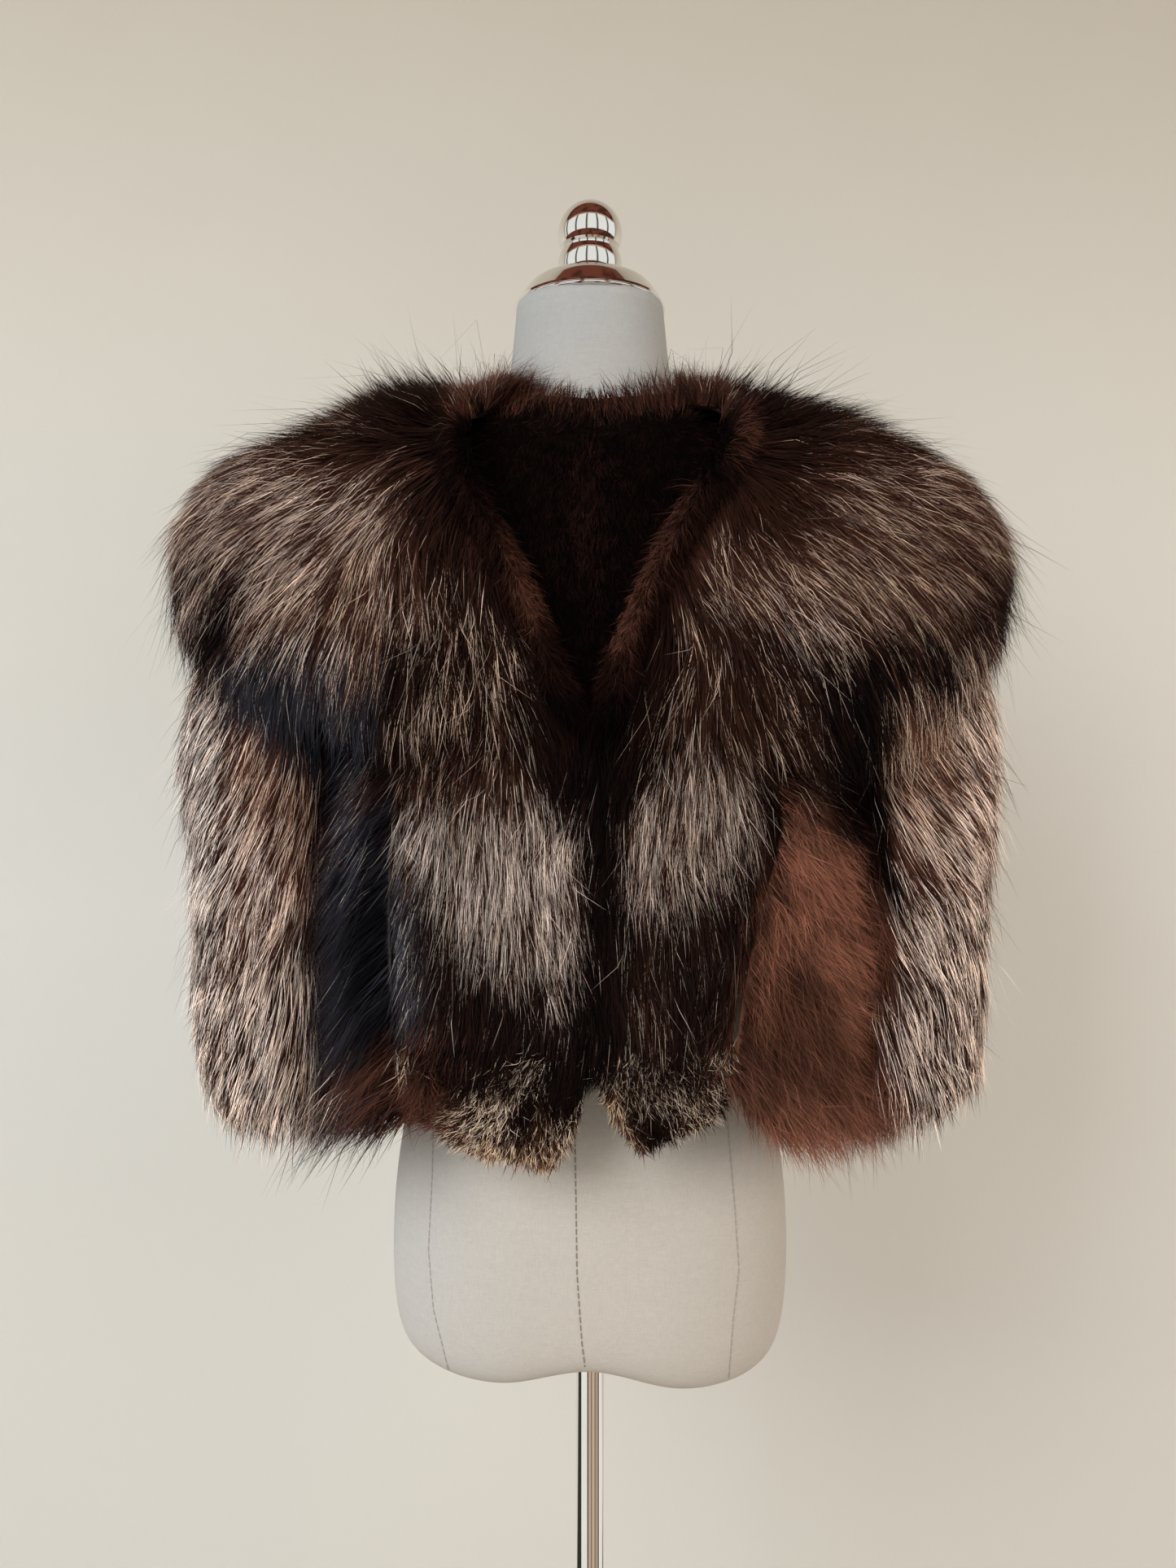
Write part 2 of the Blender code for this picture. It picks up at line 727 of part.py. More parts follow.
def sleeve_ring(section, side):
    """The outer and inner rings of a section across the sleeve."""
    bend = math.radians(section.bend)
    out = Vector((math.sin(bend), 0, math.cos(bend)))
    rings = []
    for wall, wall_near in ((0, 0), (section.wall, section.wall_near)):
        near, far = section.near + wall_near, section.far - wall
        centre = PIVOT + out * (near + far) / 2 - Vector((0, 0, section.drop))
        reach = (far - near) / 2
        ring = []
        for i in range(SLEEVE_COLUMNS):
            turn = math.tau * i / SLEEVE_COLUMNS
            sine, cosine = math.sin(turn), math.cos(turn)
            across = reach * math.copysign(abs(cosine) ** (2 / SLEEVE_POWER), cosine)
            depth = section.depth - wall
            along = depth * math.copysign(abs(sine) ** (2 / SLEEVE_POWER), sine)
            point = centre + out * across + Vector((0, along, 0))
            ring.append(Vector((point.x * side, point.y, point.z)))
        rings.append(ring)
    return rings


def body_side_x(y, z):
    """How far out the body's leather is, at the side, at this depth and height."""
    section = read_row(BODY_SECTIONS, "z", z)
    depth = section.front if y < 0 else section.back
    share = min(abs(y) / depth, 0.999)
    return section.width * (1 - share**BODY_POWER) ** (1 / BODY_POWER)


def make_sleeve(name, side, parts):
    """A sleeve, from the armhole round the underarm and down to the cuff."""
    outer, inner = [], []
    for reach in (0.001, ARMHOLE_WALL):
        for stack, ring in zip((outer, inner), sleeve_ring(ARMHOLE, side)):
            moved = [Vector((side * (body_side_x(p.y, p.z) + reach), p.y, p.z)) for p in ring]
            stack.append(moved)
    for section in SLEEVE_SECTIONS:
        rings = sleeve_ring(section, side)
        outer.append(rings[0])
        inner.append(rings[1])
    return tube(name, outer, inner, parts)


def make_armhole_cutter(name, side, cutters):
    """A plug the size of the armhole, a seam's gap larger than the sleeve."""
    reach = 0.12
    start = 0.10
    height = (ARMHOLE.far - ARMHOLE.near) / 2
    ring = sleeve_ring(ARMHOLE, side)[0]
    middle = PIVOT.z + (ARMHOLE.near + ARMHOLE.far) / 2
    shape = bmesh.new()
    ends = []
    for x in (start, start + reach):
        end = []
        for point in ring:
            y = PIVOT.y + (point.y - PIVOT.y) * (1 + SEAM_GAP / ARMHOLE.depth)
            z = middle + (point.z - middle) * (1 + SEAM_GAP / height)
            end.append(shape.verts.new((side * x, y, z)))
        ends.append(end)
        shape.faces.new(end)
    for i in range(len(ring)):
        shape.faces.new((ends[0][i - 1], ends[0][i], ends[1][i], ends[1][i - 1]))
    cutter = finish_mesh(name, shape, cutters)
    cutter.hide_render = True
    cutter.display_type = "WIRE"
    return cutter


# --- finish -----------------------------------------------------------------------------


def make_material(name, colour, roughness, metallic):
    """A plain material."""
    material = bpy.data.materials.new(name)
    material.use_nodes = True
    shader = material.node_tree.nodes["Principled BSDF"]
    shader.inputs["Base Color"].default_value = (*colour, 1)
    shader.inputs["Roughness"].default_value = roughness
    shader.inputs["Metallic"].default_value = metallic
    material.diffuse_color = (*colour, 1)
    return material


def main():
    for old in list(bpy.data.objects):
        bpy.data.objects.remove(old)
    parts = bpy.data.collections.new("fur_capelet")
    cutters = bpy.data.collections.new("cutters")
    for collection in (parts, cutters):
        bpy.context.scene.collection.children.link(collection)

    neck_cap, cap_top = make_neck_cap(parts)
    wears = {
        "linen": [make_torso(parts, cutters)],
        "chrome": [
            neck_cap,
            make_finial(parts, cap_top),
            make_pole(parts),
            make_socket_collar(parts),
            make_base(parts),
        ],
        "silver_fur": [make_back(parts), make_cape_back(parts)],
        "dark_fur": [],
        "brown_wool_fur": [],
        "blue_black_fur": [],
        "brindled_fur": [],
    }
    snouts = {"left": SNOUT_LEFT, "right": SNOUT_RIGHT}
    side_fur = {"left": "blue_black_fur", "right": "brown_wool_fur"}
    back = wears["silver_fur"][0]
    for word, side in (("left", -1), ("right", 1)):
        armhole = make_armhole_cutter(f"armhole_{word}", side, cutters)
        yoke = make_yoke(f"yoke_{word}", side, parts)
        cut(yoke, armhole)
        cut(back, armhole)
        wears["dark_fur"].append(yoke)
        wears["silver_fur"] += [
            make_front(f"front_{word}", side, parts),
            make_sleeve(f"sleeve_{word}", side, parts),
            make_cape_flap(f"cape_{word}", side, parts),
        ]
        wears["brindled_fur"].append(make_snout(f"snout_{word}", snouts[word], side, parts))
        wears[side_fur[word]].append(make_side(f"side_{word}", side, parts))
        wears["brown_wool_fur"].append(make_roll(f"roll_{word}", side, parts))
    for finish, wearers in wears.items():
        for wearer in wearers:
            material = make_material(f"{wearer.name}_{finish}", *COLOURS[finish])
            wearer.data.materials.append(material)


main()
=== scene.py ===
# A cropped fur capelet with set-in sleeves, worn by a limbless dress form on a plated stand.
import math

import bmesh
import bpy
import numpy as np
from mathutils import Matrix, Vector, kdtree
from mathutils.bvhtree import BVHTree


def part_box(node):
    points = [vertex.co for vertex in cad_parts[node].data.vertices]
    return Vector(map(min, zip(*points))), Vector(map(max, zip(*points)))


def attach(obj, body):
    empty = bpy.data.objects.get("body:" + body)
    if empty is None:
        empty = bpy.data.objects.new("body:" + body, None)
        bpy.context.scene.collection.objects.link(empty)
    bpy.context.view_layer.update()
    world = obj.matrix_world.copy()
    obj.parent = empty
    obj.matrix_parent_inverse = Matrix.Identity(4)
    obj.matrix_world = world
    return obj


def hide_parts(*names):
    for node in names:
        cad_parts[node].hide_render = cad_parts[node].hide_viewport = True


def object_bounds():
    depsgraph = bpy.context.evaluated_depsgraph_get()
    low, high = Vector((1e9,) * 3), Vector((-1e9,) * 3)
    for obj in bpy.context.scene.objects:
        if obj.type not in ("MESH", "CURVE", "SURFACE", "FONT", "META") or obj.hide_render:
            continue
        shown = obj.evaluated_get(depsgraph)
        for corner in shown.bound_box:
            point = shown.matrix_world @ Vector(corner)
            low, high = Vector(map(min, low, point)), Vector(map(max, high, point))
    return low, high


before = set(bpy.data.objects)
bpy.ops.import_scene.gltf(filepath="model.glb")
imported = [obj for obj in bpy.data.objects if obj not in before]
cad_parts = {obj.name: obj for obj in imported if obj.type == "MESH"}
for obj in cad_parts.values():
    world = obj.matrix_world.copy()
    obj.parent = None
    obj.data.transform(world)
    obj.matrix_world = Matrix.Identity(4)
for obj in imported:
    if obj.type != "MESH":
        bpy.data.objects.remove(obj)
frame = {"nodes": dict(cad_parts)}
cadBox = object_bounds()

nodes = frame["nodes"]
print("frame loaded:", len(nodes), "nodes")


# shader helpers: a wrapped socket that takes part in sums, and the trees that nodes are added to


class Value:
    def __init__(self, nodes, socket):
        self.nodes, self.socket = nodes, socket

    def __add__(self, other):
        return self.nodes.math("ADD", self, other)

    def __radd__(self, other):
        return self.nodes.math("ADD", other, self)

    def __sub__(self, other):
        return self.nodes.math("SUBTRACT", self, other)

    def __rsub__(self, other):
        return self.nodes.math("SUBTRACT", other, self)

    def __mul__(self, other):
        return self.nodes.math("MULTIPLY", self, other)

    def __rmul__(self, other):
        return self.nodes.math("MULTIPLY", other, self)

    def __truediv__(self, other):
        return self.nodes.math("DIVIDE", self, other)

    def clamped(self):
        return self.nodes.add("ShaderNodeMath", {"operation": "ADD", "use_clamp": True}, {0: self, 1: 0.0})


def setStops(ramp, stops):
    # each colour holds until the next one starts
    ramp.interpolation = "CONSTANT"
    while len(ramp.elements) < len(stops):
        ramp.elements.new(0.5)
    for stop, (at, colour) in zip(ramp.elements, stops):
        stop.position, stop.color = at, (*colour, 1)


class Nodes:
    # adds nodes to one tree; values are plain, or sockets of other nodes
    def __init__(self, tree):
        self.tree = tree

    def add(self, kind, settings=None, values=None, output=0):
        node = self.tree.nodes.new(kind)
        for name, value in (settings or {}).items():
            if name == "stops":
                setStops(node.color_ramp, value)
            else:
                setattr(node, name, value)
        for key, value in (values or {}).items():
            self.join(node.inputs[key], value)
        return Value(self, node.outputs[output]) if node.outputs else node

    def join(self, socket, value):
        if isinstance(value, Value):
            self.tree.links.new(value.socket, socket)
        elif hasattr(value, "__len__") and socket.type == "RGBA" and len(value) == 3:
            socket.default_value = (*value, 1)
        else:
            socket.default_value = value

    def math(self, operation, *values):
        return self.add("ShaderNodeMath", {"operation": operation}, dict(enumerate(values)))

    def mix(self, share, first, second, blend="MIX"):
        settings = {"data_type": "RGBA", "blend_type": blend, "clamp_factor": True}
        return self.add("ShaderNodeMix", settings, {0: share, 6: first, 7: second}, 2)

    def shaded(self, colour, depth):
        grey = self.add("ShaderNodeCombineColor", {}, {0: depth, 1: depth, 2: depth})
        return self.mix(1.0, colour, grey, "MULTIPLY")

    def attributes(self, *names):
        return [self.add("ShaderNodeAttribute", {"attribute_name": name}, output="Fac") for name in names]

    def objectPlace(self, scale=(1, 1, 1)):
        place = self.add("ShaderNodeTexCoord", output="Object")
        return self.add("ShaderNodeMapping", {}, {"Vector": place, "Scale": scale}, "Vector")

    def axis(self, vector, name):
        return self.add("ShaderNodeSeparateXYZ", {}, {"Vector": vector}, name)

    def noise(self, vector, scale, detail=2.0, roughness=0.5):
        values = {"Vector": vector, "Scale": scale, "Detail": detail, "Roughness": roughness}
        return self.add("ShaderNodeTexNoise", {}, values)

    def bump(self, height, strength, distance):
        values = {"Height": height, "Strength": strength, "Distance": distance}
        return self.add("ShaderNodeBump", {}, values)


class Paint(Nodes):
    # one material: plain socket values first, then nodes that feed the surface
    def __init__(self, name, **plain):
        self.material = bpy.data.materials.new(name)
        self.material.use_nodes = True
        super().__init__(self.material.node_tree)
        self.surface = self.tree.nodes["Principled BSDF"]
        self.feed(**plain)

    def feed(self, **links):
        for socket, value in links.items():
            self.join(self.surface.inputs[socket.replace("_", " ")], value)
        return self.material


# smooth noise on a lattice, and arrays in and out of meshes

latticeSize, latticeLayers = 24, 6
latticeShape = (latticeLayers, latticeSize, latticeSize, latticeSize)
lattice = np.random.default_rng(11).uniform(-1, 1, latticeShape)


def drift(points, size, layer=0):
    # smooth noise from -1 to 1 whose features are about this size
    at = points / size
    low = np.floor(at).astype(int)
    part = at - low
    part = part * part * (3 - 2 * part)
    total = np.zeros(len(points))
    for corner in range(8):
        step = np.array([corner & 1, corner >> 1 & 1, corner >> 2])
        weight = np.prod(np.where(step, part, 1 - part), axis=1)
        x, y, z = ((low + step) % latticeSize).T
        total += weight * lattice[layer, x, y, z]
    return total


def unit(vectors):
    return vectors / np.maximum(np.linalg.norm(vectors, axis=-1, keepdims=True), 1e-9)


def lyingOn(normals, vectors):
    # the vectors laid down on the surface
    return unit(vectors - normals * (vectors * normals).sum(1)[:, None])


def smoothStep(low, high, values):
    part = np.clip((values - low) / (high - low), 0, 1)
    return part * part * (3 - 2 * part)


def read(items, name, width, kind=np.float32):
    found = np.empty(len(items) * width, kind)
    items.foreach_get(name, found)
    return found.reshape(-1, width) if width > 1 else found


def newObject(name, mesh):
    made = bpy.data.objects.new(name, mesh)
    bpy.context.scene.collection.objects.link(made)
    return made


def storeFloats(mesh, name, values):
    mesh.attributes.new(name, "FLOAT", "POINT").data.foreach_set("value", values.astype(np.float32))


def vertexPlaces(mesh):
    return tuple(read(mesh.vertices, name, 3).astype(float) for name in ("co", "normal"))


def asMesh(name, shape):
    mesh = bpy.data.meshes.new(name)
    shape.to_mesh(mesh)
    shape.free()
    return mesh


def weldedShape(name, shapeAngle):
    # a solid with its triangles joined back into larger faces
    shape = bmesh.new()
    shape.from_mesh(nodes[name].data)
    bmesh.ops.remove_doubles(shape, verts=shape.verts, dist=1e-5)
    bmesh.ops.join_triangles(
        shape, faces=shape.faces, angle_face_threshold=0.6, angle_shape_threshold=shapeAngle
    )
    return shape


def evaluated(made, kind, **settings):
    # the object's mesh with one modifier laid on
    modifier = made.modifiers.new("shape", kind)
    for key, value in settings.items():
        setattr(modifier, key, value)
    graph = bpy.context.evaluated_depsgraph_get()
    mesh = bpy.data.meshes.new_from_object(made.evaluated_get(graph))
    made.modifiers.clear()
    return mesh


# the skins that the hair grows from: each panel's outer face, sunk below its pile

armBend = {"x": 0.1785, "y": -0.004, "z": 1.14, "tube": 0.0645, "cap": 0.09}
trunk = {"z": 1.15, "spread": 0.6}
# how much an outer face looks outwards and the way its neighbour does
outerFace = {"outward": 0.3, "turn": 0.25}


def heartOf(name, at):
    # the point that a panel's outer face looks away from
    x, y, z = at
    if name.startswith("sleeve"):
        side = -1 if name.endswith("left") else 1
        if z < armBend["z"]:
            return Vector((side * (armBend["x"] + armBend["tube"]), armBend["y"], z))
        reach = Vector((x - side * armBend["x"], 0, z - armBend["z"]))
        pivot = Vector((side * armBend["x"], armBend["y"], armBend["z"]))
        return pivot + reach.normalized() * armBend["cap"] if reach.length > 0.01 else pivot
    if name.startswith(("cape", "roll")):
        return Vector((trunk["spread"] * x, 0, trunk["z"]))
    return Vector((0, 0, min(z, trunk["z"])))


def outerSkin(name):
    # the outer faces of a panel's solid as a welded mesh of its own
    shape = weldedShape(name, 0.9)
    shape.normal_update()
    facing = {}
    for face in shape.faces:
        middle = face.calc_center_median()
        away = (middle - heartOf(name, middle)).normalized()
        facing[face] = face.normal.dot(away)
    kept, edge = set(), [max(facing, key=lambda f: facing[f] * f.calc_area())]
    kept.add(edge[0])
    while edge:
        face = edge.pop()
        for side in face.edges:
            for near in side.link_faces:
                if near in kept or facing[near] < outerFace["outward"]:
                    continue
                if near.normal.dot(face.normal) > outerFace["turn"]:
                    kept.add(near)
                    edge.append(near)
    bmesh.ops.delete(shape, geom=[f for f in shape.faces if f not in kept], context="FACES")
    return asMesh(name + "_skin", shape)


def hemLine(points, faces, flow, sign=1, aligned=0.55):
    # the middles of the free edges that the hair runs out over, or with -1 those it starts from
    count = {}
    for index, face in enumerate(faces):
        for a, b in zip(face, face[1:] + face[:1]):
            count.setdefault((min(a, b), max(a, b)), []).append(index)
    middles = []
    for (a, b), owners in count.items():
        if len(owners) > 1:
            continue
        middle = (points[a] + points[b]) / 2
        out = middle - points[faces[owners[0]]].mean(0)
        along = unit(points[b] - points[a])
        out = unit(out - along * (out @ along))
        if sign * out @ flow(middle[None])[0] > aligned:
            middles.append(middle)
    return np.array(middles)


def nearness(points, places, reach):
    if not len(places):
        return np.zeros(len(points))
    gap = np.sqrt(((points[:, None] - places[None]) ** 2).sum(2).min(1))
    return np.clip(1 - gap / reach, 0, 1)


def facingIn(name, points, normals):
    # how far a sleeve's or side's surface faces the groove between the two
    if not name.startswith(("sleeve", "side")):
        return np.zeros(len(points))
    inward = -normals[:, 0] * np.sign(points[:, 0])
    return inward if name.startswith("sleeve") else -inward


# a pair is where a change starts and where it is full: a height, or a distance from the middle plane
# or in front of the pole
skinShape = {
    "grooveSink": 0.0015, "hemReach": 0.09, "headReach": 0.02, "shoulder": (1.335, 1.385),
    "corner": (0.255, 0.31),
    "swellOut": (0.11, 0.17), "swellAhead": (0.02, 0.08), "swellBelow": (1.11, 1.06),
    "neckHigh": (1.34, 1.38), "neckOuter": (0.15, 0.12), "neckInner": (0.045, 0.065), "neckSlack": 0.014,
}


def makeSkin(name, panel):
    made = newObject(name + "_work", outerSkin(name))
    mesh = evaluated(made, "SUBSURF", levels=panel["fineness"], boundary_smooth="PRESERVE_CORNERS")
    bpy.data.objects.remove(made)
    points, normals = vertexPlaces(mesh)
    faces = [list(p.vertices) for p in mesh.polygons]
    flow = panel["flow"]
    sink = np.full(len(points), panel["sink"])
    # where sleeve and side face each other, both hides come up close
    sink = sink + (skinShape["grooveSink"] - sink) * smoothStep(0.0, 0.6, facingIn(name, points, normals))
    sink = sink + panel["topSink"] * smoothStep(*skinShape["shoulder"], points[:, 2])
    near = nearness(points, hemLine(points, faces, flow), skinShape["hemReach"])
    head = nearness(points, hemLine(points, faces, flow, -1), skinShape["headReach"])
    sink = sink + panel["hemSink"] * near
    points = points - normals * sink[:, None]
    # the hide stops short of the hem, and its hair covers the rest
    way = lyingOn(normals, flow(points))
    pull = panel["hemPull"] + panel["cornerPull"] * smoothStep(*skinShape["corner"], np.abs(points[:, 0]))
    points = points - way * (pull * near + panel["headPush"] * head)[:, None]
    if panel["bulge"]:
        swell = smoothStep(*skinShape["swellOut"], np.abs(points[:, 0]))
        swell = swell * smoothStep(*skinShape["swellAhead"], -points[:, 1])
        swell = panel["bulge"] * swell * smoothStep(*skinShape["swellBelow"], points[:, 2])
        points[:, 0] += np.sign(points[:, 0]) * swell
    if panel["margin"]:
        wide = np.abs(points[:, 0])
        beside = smoothStep(*skinShape["neckHigh"], points[:, 2])
        beside = beside * smoothStep(*skinShape["neckOuter"], wide) * smoothStep(*skinShape["neckInner"], wide)
        slack = -panel["margin"] - skinShape["neckSlack"] * beside
        points[:, 2] += beyondTrim(points, slack)
    mesh.vertices.foreach_set("co", points.astype(np.float32).ravel())
    mesh.update()
    storeFloats(mesh, "hem", near)
    return mesh


# which way the hair lies


def downFlow(points):
    return unit(np.tile((0.0, 0.0, -1.0), (len(points), 1)))


eyeAt = (0.0, -0.94, 1.10)  # where the front is looked at from; the camera stands here too


def facePlane(points):
    # each point's place on the plane through the pole, as the front is looked at
    near = (points[:, 1] - eyeAt[1]) / -eyeAt[1]
    return np.stack([points[:, 0] / near, eyeAt[2] + (points[:, 2] - eyeAt[2]) / near], 1)


# x and z on that plane, and how far the hair there is combed from straight down, in degrees, right positive
strokes = np.array([
    # left shoulder and cape
    (-0.1, 1.42, -178), (-0.14, 1.415, -150), (-0.18, 1.41, -135), (-0.22, 1.405, -112),
    (-0.26, 1.392, -102), (-0.3, 1.385, -102), (-0.26, 1.375, -96), (-0.22, 1.36, -85),
    (-0.3, 1.35, -70), (-0.26, 1.34, -72), (-0.2, 1.34, -72), (-0.32, 1.31, -50), (-0.28, 1.31, -60),
    (-0.24, 1.31, -57), (-0.2, 1.32, -55), (-0.17, 1.33, -30), (-0.33, 1.28, -35), (-0.3, 1.28, -45),
    (-0.26, 1.28, -45), (-0.22, 1.28, -40), (-0.19, 1.29, -30), (-0.17, 1.29, -15), (-0.155, 1.29, 0),
    (-0.14, 1.28, 4), (-0.31, 1.25, -30), (-0.28, 1.25, -35), (-0.24, 1.25, -32), (-0.2, 1.25, -22),
    (-0.17, 1.25, -5), (-0.14, 1.25, -2), (-0.12, 1.27, 0), (-0.3, 1.21, -30), (-0.26, 1.21, -25),
    (-0.22, 1.21, -18), (-0.19, 1.21, -10), (-0.16, 1.2, -2), (-0.13, 1.21, -5), (-0.1, 1.21, -8),
    (-0.085, 1.23, 20), (-0.06, 1.2, 32), (-0.05, 1.18, 30), (-0.31, 1.17, -32), (-0.25, 1.17, -5),
    (-0.2, 1.16, -5), (-0.15, 1.15, -10), (-0.12, 1.16, -10), (-0.09, 1.14, -2), (-0.06, 1.13, 8),
    (-0.1, 1.33, -10), (-0.1, 1.37, -60),
    # left sleeve and side
    (-0.32, 1.12, -30), (-0.3, 1.12, -28), (-0.26, 1.12, -28), (-0.24, 1.1, -22), (-0.28, 1.06, -22),
    (-0.32, 1.04, -20), (-0.24, 1.04, -10), (-0.22, 1.02, -5), (-0.26, 1, -18), (-0.22, 0.96, 5),
    (-0.26, 0.94, -27), (-0.3, 0.94, -18), (-0.28, 0.91, -15), (-0.24, 0.9, -15), (-0.28, 0.86, -10),
    (-0.24, 0.84, -5), (-0.21, 0.9, 0), (-0.22, 1.12, -5), (-0.19, 1.06, -2), (-0.18, 1, -5),
    (-0.17, 0.95, -10), (-0.16, 0.9, -12), (-0.15, 0.85, -10),
    # left front
    (-0.17, 1.08, -25), (-0.16, 1.04, -20), (-0.14, 1.04, -12), (-0.1, 1.04, -2), (-0.06, 1.06, 6),
    (-0.04, 1.06, 14), (-0.03, 0.98, 8), (-0.1, 0.98, 0), (-0.14, 0.98, -10), (-0.1, 0.9, 0),
    (0, 1.1, 0),
    # right shoulder and cape
    (0.06, 1.43, 170), (0.09, 1.43, 178), (0.12, 1.43, 160), (0.14, 1.415, 140), (0.17, 1.41, 125),
    (0.2, 1.405, 105), (0.23, 1.4, 95), (0.26, 1.385, 103), (0.28, 1.365, 88), (0.24, 1.375, 85),
    (0.22, 1.36, 86), (0.26, 1.355, 85), (0.3, 1.35, 78), (0.33, 1.34, 66), (0.22, 1.33, 66),
    (0.26, 1.33, 75), (0.3, 1.33, 72), (0.34, 1.32, 48), (0.2, 1.31, 52), (0.22, 1.3, 55),
    (0.26, 1.3, 55), (0.3, 1.3, 55), (0.33, 1.3, 44), (0.345, 1.28, 28), (0.12, 1.27, 30),
    (0.15, 1.27, 36), (0.18, 1.27, 40), (0.22, 1.27, 40), (0.26, 1.27, 44), (0.3, 1.26, 40),
    (0.34, 1.25, 28), (0.12, 1.23, 28), (0.15, 1.23, 32), (0.18, 1.22, 28), (0.22, 1.22, 30),
    (0.26, 1.22, 25), (0.3, 1.22, 30), (0.14, 1.19, 28), (0.18, 1.19, 20), (0.22, 1.18, 14),
    (0.26, 1.18, 14), (0.3, 1.18, 25), (0.32, 1.18, 18), (0.09, 1.21, -20), (0.1, 1.2, 4),
    (0.085, 1.16, -20), (0.11, 1.17, 30), (0.14, 1.16, 33), (0.17, 1.16, 24), (0.2, 1.14, 5),
    (0.16, 1.12, 34), (0.17, 1.1, 30), (0.15, 1.1, 28), (0.1, 1.33, 10), (0.1, 1.37, 60),
    (0.15, 1.33, 40), (0.15, 1.38, 85),
    # right front
    (0.06, 1.1, -20), (0.05, 1.08, -17), (0.04, 1.04, -6), (0.08, 1.08, -4), (0.11, 1.08, 2),
    (0.13, 1.08, 9), (0.135, 1.05, 0), (0.1, 1.02, 2), (0.06, 1, 3), (0.04, 0.99, 9), (0.06, 0.92, 3),
    # right side and sleeve
    (0.17, 1.04, 0), (0.14, 0.98, -20), (0.12, 0.94, -25), (0.115, 0.88, -20), (0.18, 1, 2),
    (0.2, 0.96, 20), (0.22, 0.94, 28), (0.22, 1, 32), (0.24, 0.98, 32), (0.2, 0.88, 2),
    (0.14, 0.86, -6), (0.24, 0.9, 12), (0.3, 1.14, 30), (0.26, 1.12, 34), (0.27, 1.08, 38),
    (0.29, 1.06, 30), (0.31, 1.06, 20), (0.25, 1.05, 24), (0.26, 1.02, 24), (0.26, 0.98, 20),
    (0.28, 0.98, 15), (0.3, 0.96, 3), (0.27, 0.92, 14), (0.25, 0.88, 18), (0.27, 0.86, 10),
    (0.29, 0.86, 5), (0.24, 0.85, 0),
    # head ends
    (-0.063, 0.86, -25), (-0.05, 0.85, -20), (-0.075, 0.845, -40), (-0.1, 0.835, -60),
    (-0.12, 0.825, -70), (-0.09, 0.815, -55), (-0.06, 0.825, -35), (-0.04, 0.83, 30),
    (-0.025, 0.835, 10), (-0.036, 0.815, 0), (-0.02, 0.82, 20), (-0.05, 0.8, -20), (-0.11, 0.87, -60),
    (-0.08, 0.87, -10), (0.025, 0.865, -15), (0.02, 0.845, -10), (0.045, 0.86, 0), (0.04, 0.84, 0),
    (0.06, 0.85, 40), (0.08, 0.85, 60), (0.09, 0.87, 35), (0.09, 0.84, 70), (0.07, 0.83, 50),
    (0.03, 0.82, 0), (0.045, 0.815, 10), (0.03, 0.88, -20),
    # yoke and neckline
    (-0.085, 1.43, 172), (-0.06, 1.43, 150), (-0.045, 1.42, 140), (-0.03, 1.42, 150),
    (-0.015, 1.415, 170), (0.015, 1.415, -175), (0.03, 1.42, -155), (0.045, 1.425, -150),
    (0.065, 1.43, 178), (-0.06, 1.36, 0), (0, 1.36, 0), (0.06, 1.36, 0), (-0.04, 1.28, 0),
    (0.03, 1.28, 0), (0, 1.2, 0),
])


combing = {"reach": 0.018, "farReach": 0.07, "farShare": 1e-3, "rear": (0.02, 0.07), "rearSpread": 0.25}


def combFlow(points):
    # the nearest strokes' directions, blended
    gap = ((facePlane(points)[:, None] - strokes[None, :, :2]) ** 2).sum(2)
    near, far = (np.exp(-gap / (2 * combing[key] ** 2)) for key in ("reach", "farReach"))
    pull = near + combing["farShare"] * far + 1e-12
    lean = np.radians(strokes[:, 2])
    front = np.stack([pull @ np.sin(lean), np.zeros(len(points)), -(pull @ np.cos(lean))], 1)
    # behind the shoulders it just hangs
    rear = smoothStep(*combing["rear"], points[:, 1])[:, None]
    side = np.sign(points[:, 0]) * combing["rearSpread"]
    hang = np.stack([side, 0 * side, -np.ones(len(points))], 1)
    return unit(unit(front) * (1 - rear) + hang * rear)


backFan = {"nape": (0, 0.03, 1.44), "spread": 1.4, "fall": 0.5}


def backCapeFlow(points):
    # from the nape down the back, fanning out to the shoulders
    out = points - np.array(backFan["nape"])
    out[:, 0] *= backFan["spread"]
    out = unit(out)
    out[:, 2] -= backFan["fall"]
    return unit(out)


# how low the hair hangs and how high it stands, as the front is looked at; a few wisps go further
hemTrim = np.array([
    (-0.34, 0.93), (-0.32, 0.895), (-0.31, 0.865), (-0.3, 0.842), (-0.28, 0.82), (-0.26, 0.812),
    (-0.23, 0.816), (-0.2, 0.818), (-0.18, 0.814), (-0.16, 0.803), (-0.13, 0.798), (-0.105, 0.798),
    (-0.077, 0.801), (-0.055, 0.799), (-0.047, 0.795), (-0.039, 0.79), (-0.031, 0.793), (-0.023, 0.804),
    (-0.012, 0.815), (-0.007, 0.836), (0.002, 0.863), (0.012, 0.845), (0.0156, 0.826), (0.027, 0.815),
    (0.043, 0.805), (0.0565, 0.812), (0.073, 0.82), (0.0865, 0.824), (0.098, 0.832), (0.105, 0.832),
    (0.12, 0.81), (0.14, 0.792), (0.18, 0.786), (0.22, 0.803), (0.26, 0.82), (0.28, 0.83), (0.3, 0.848),
    (0.32, 0.87), (0.34, 0.89),
])
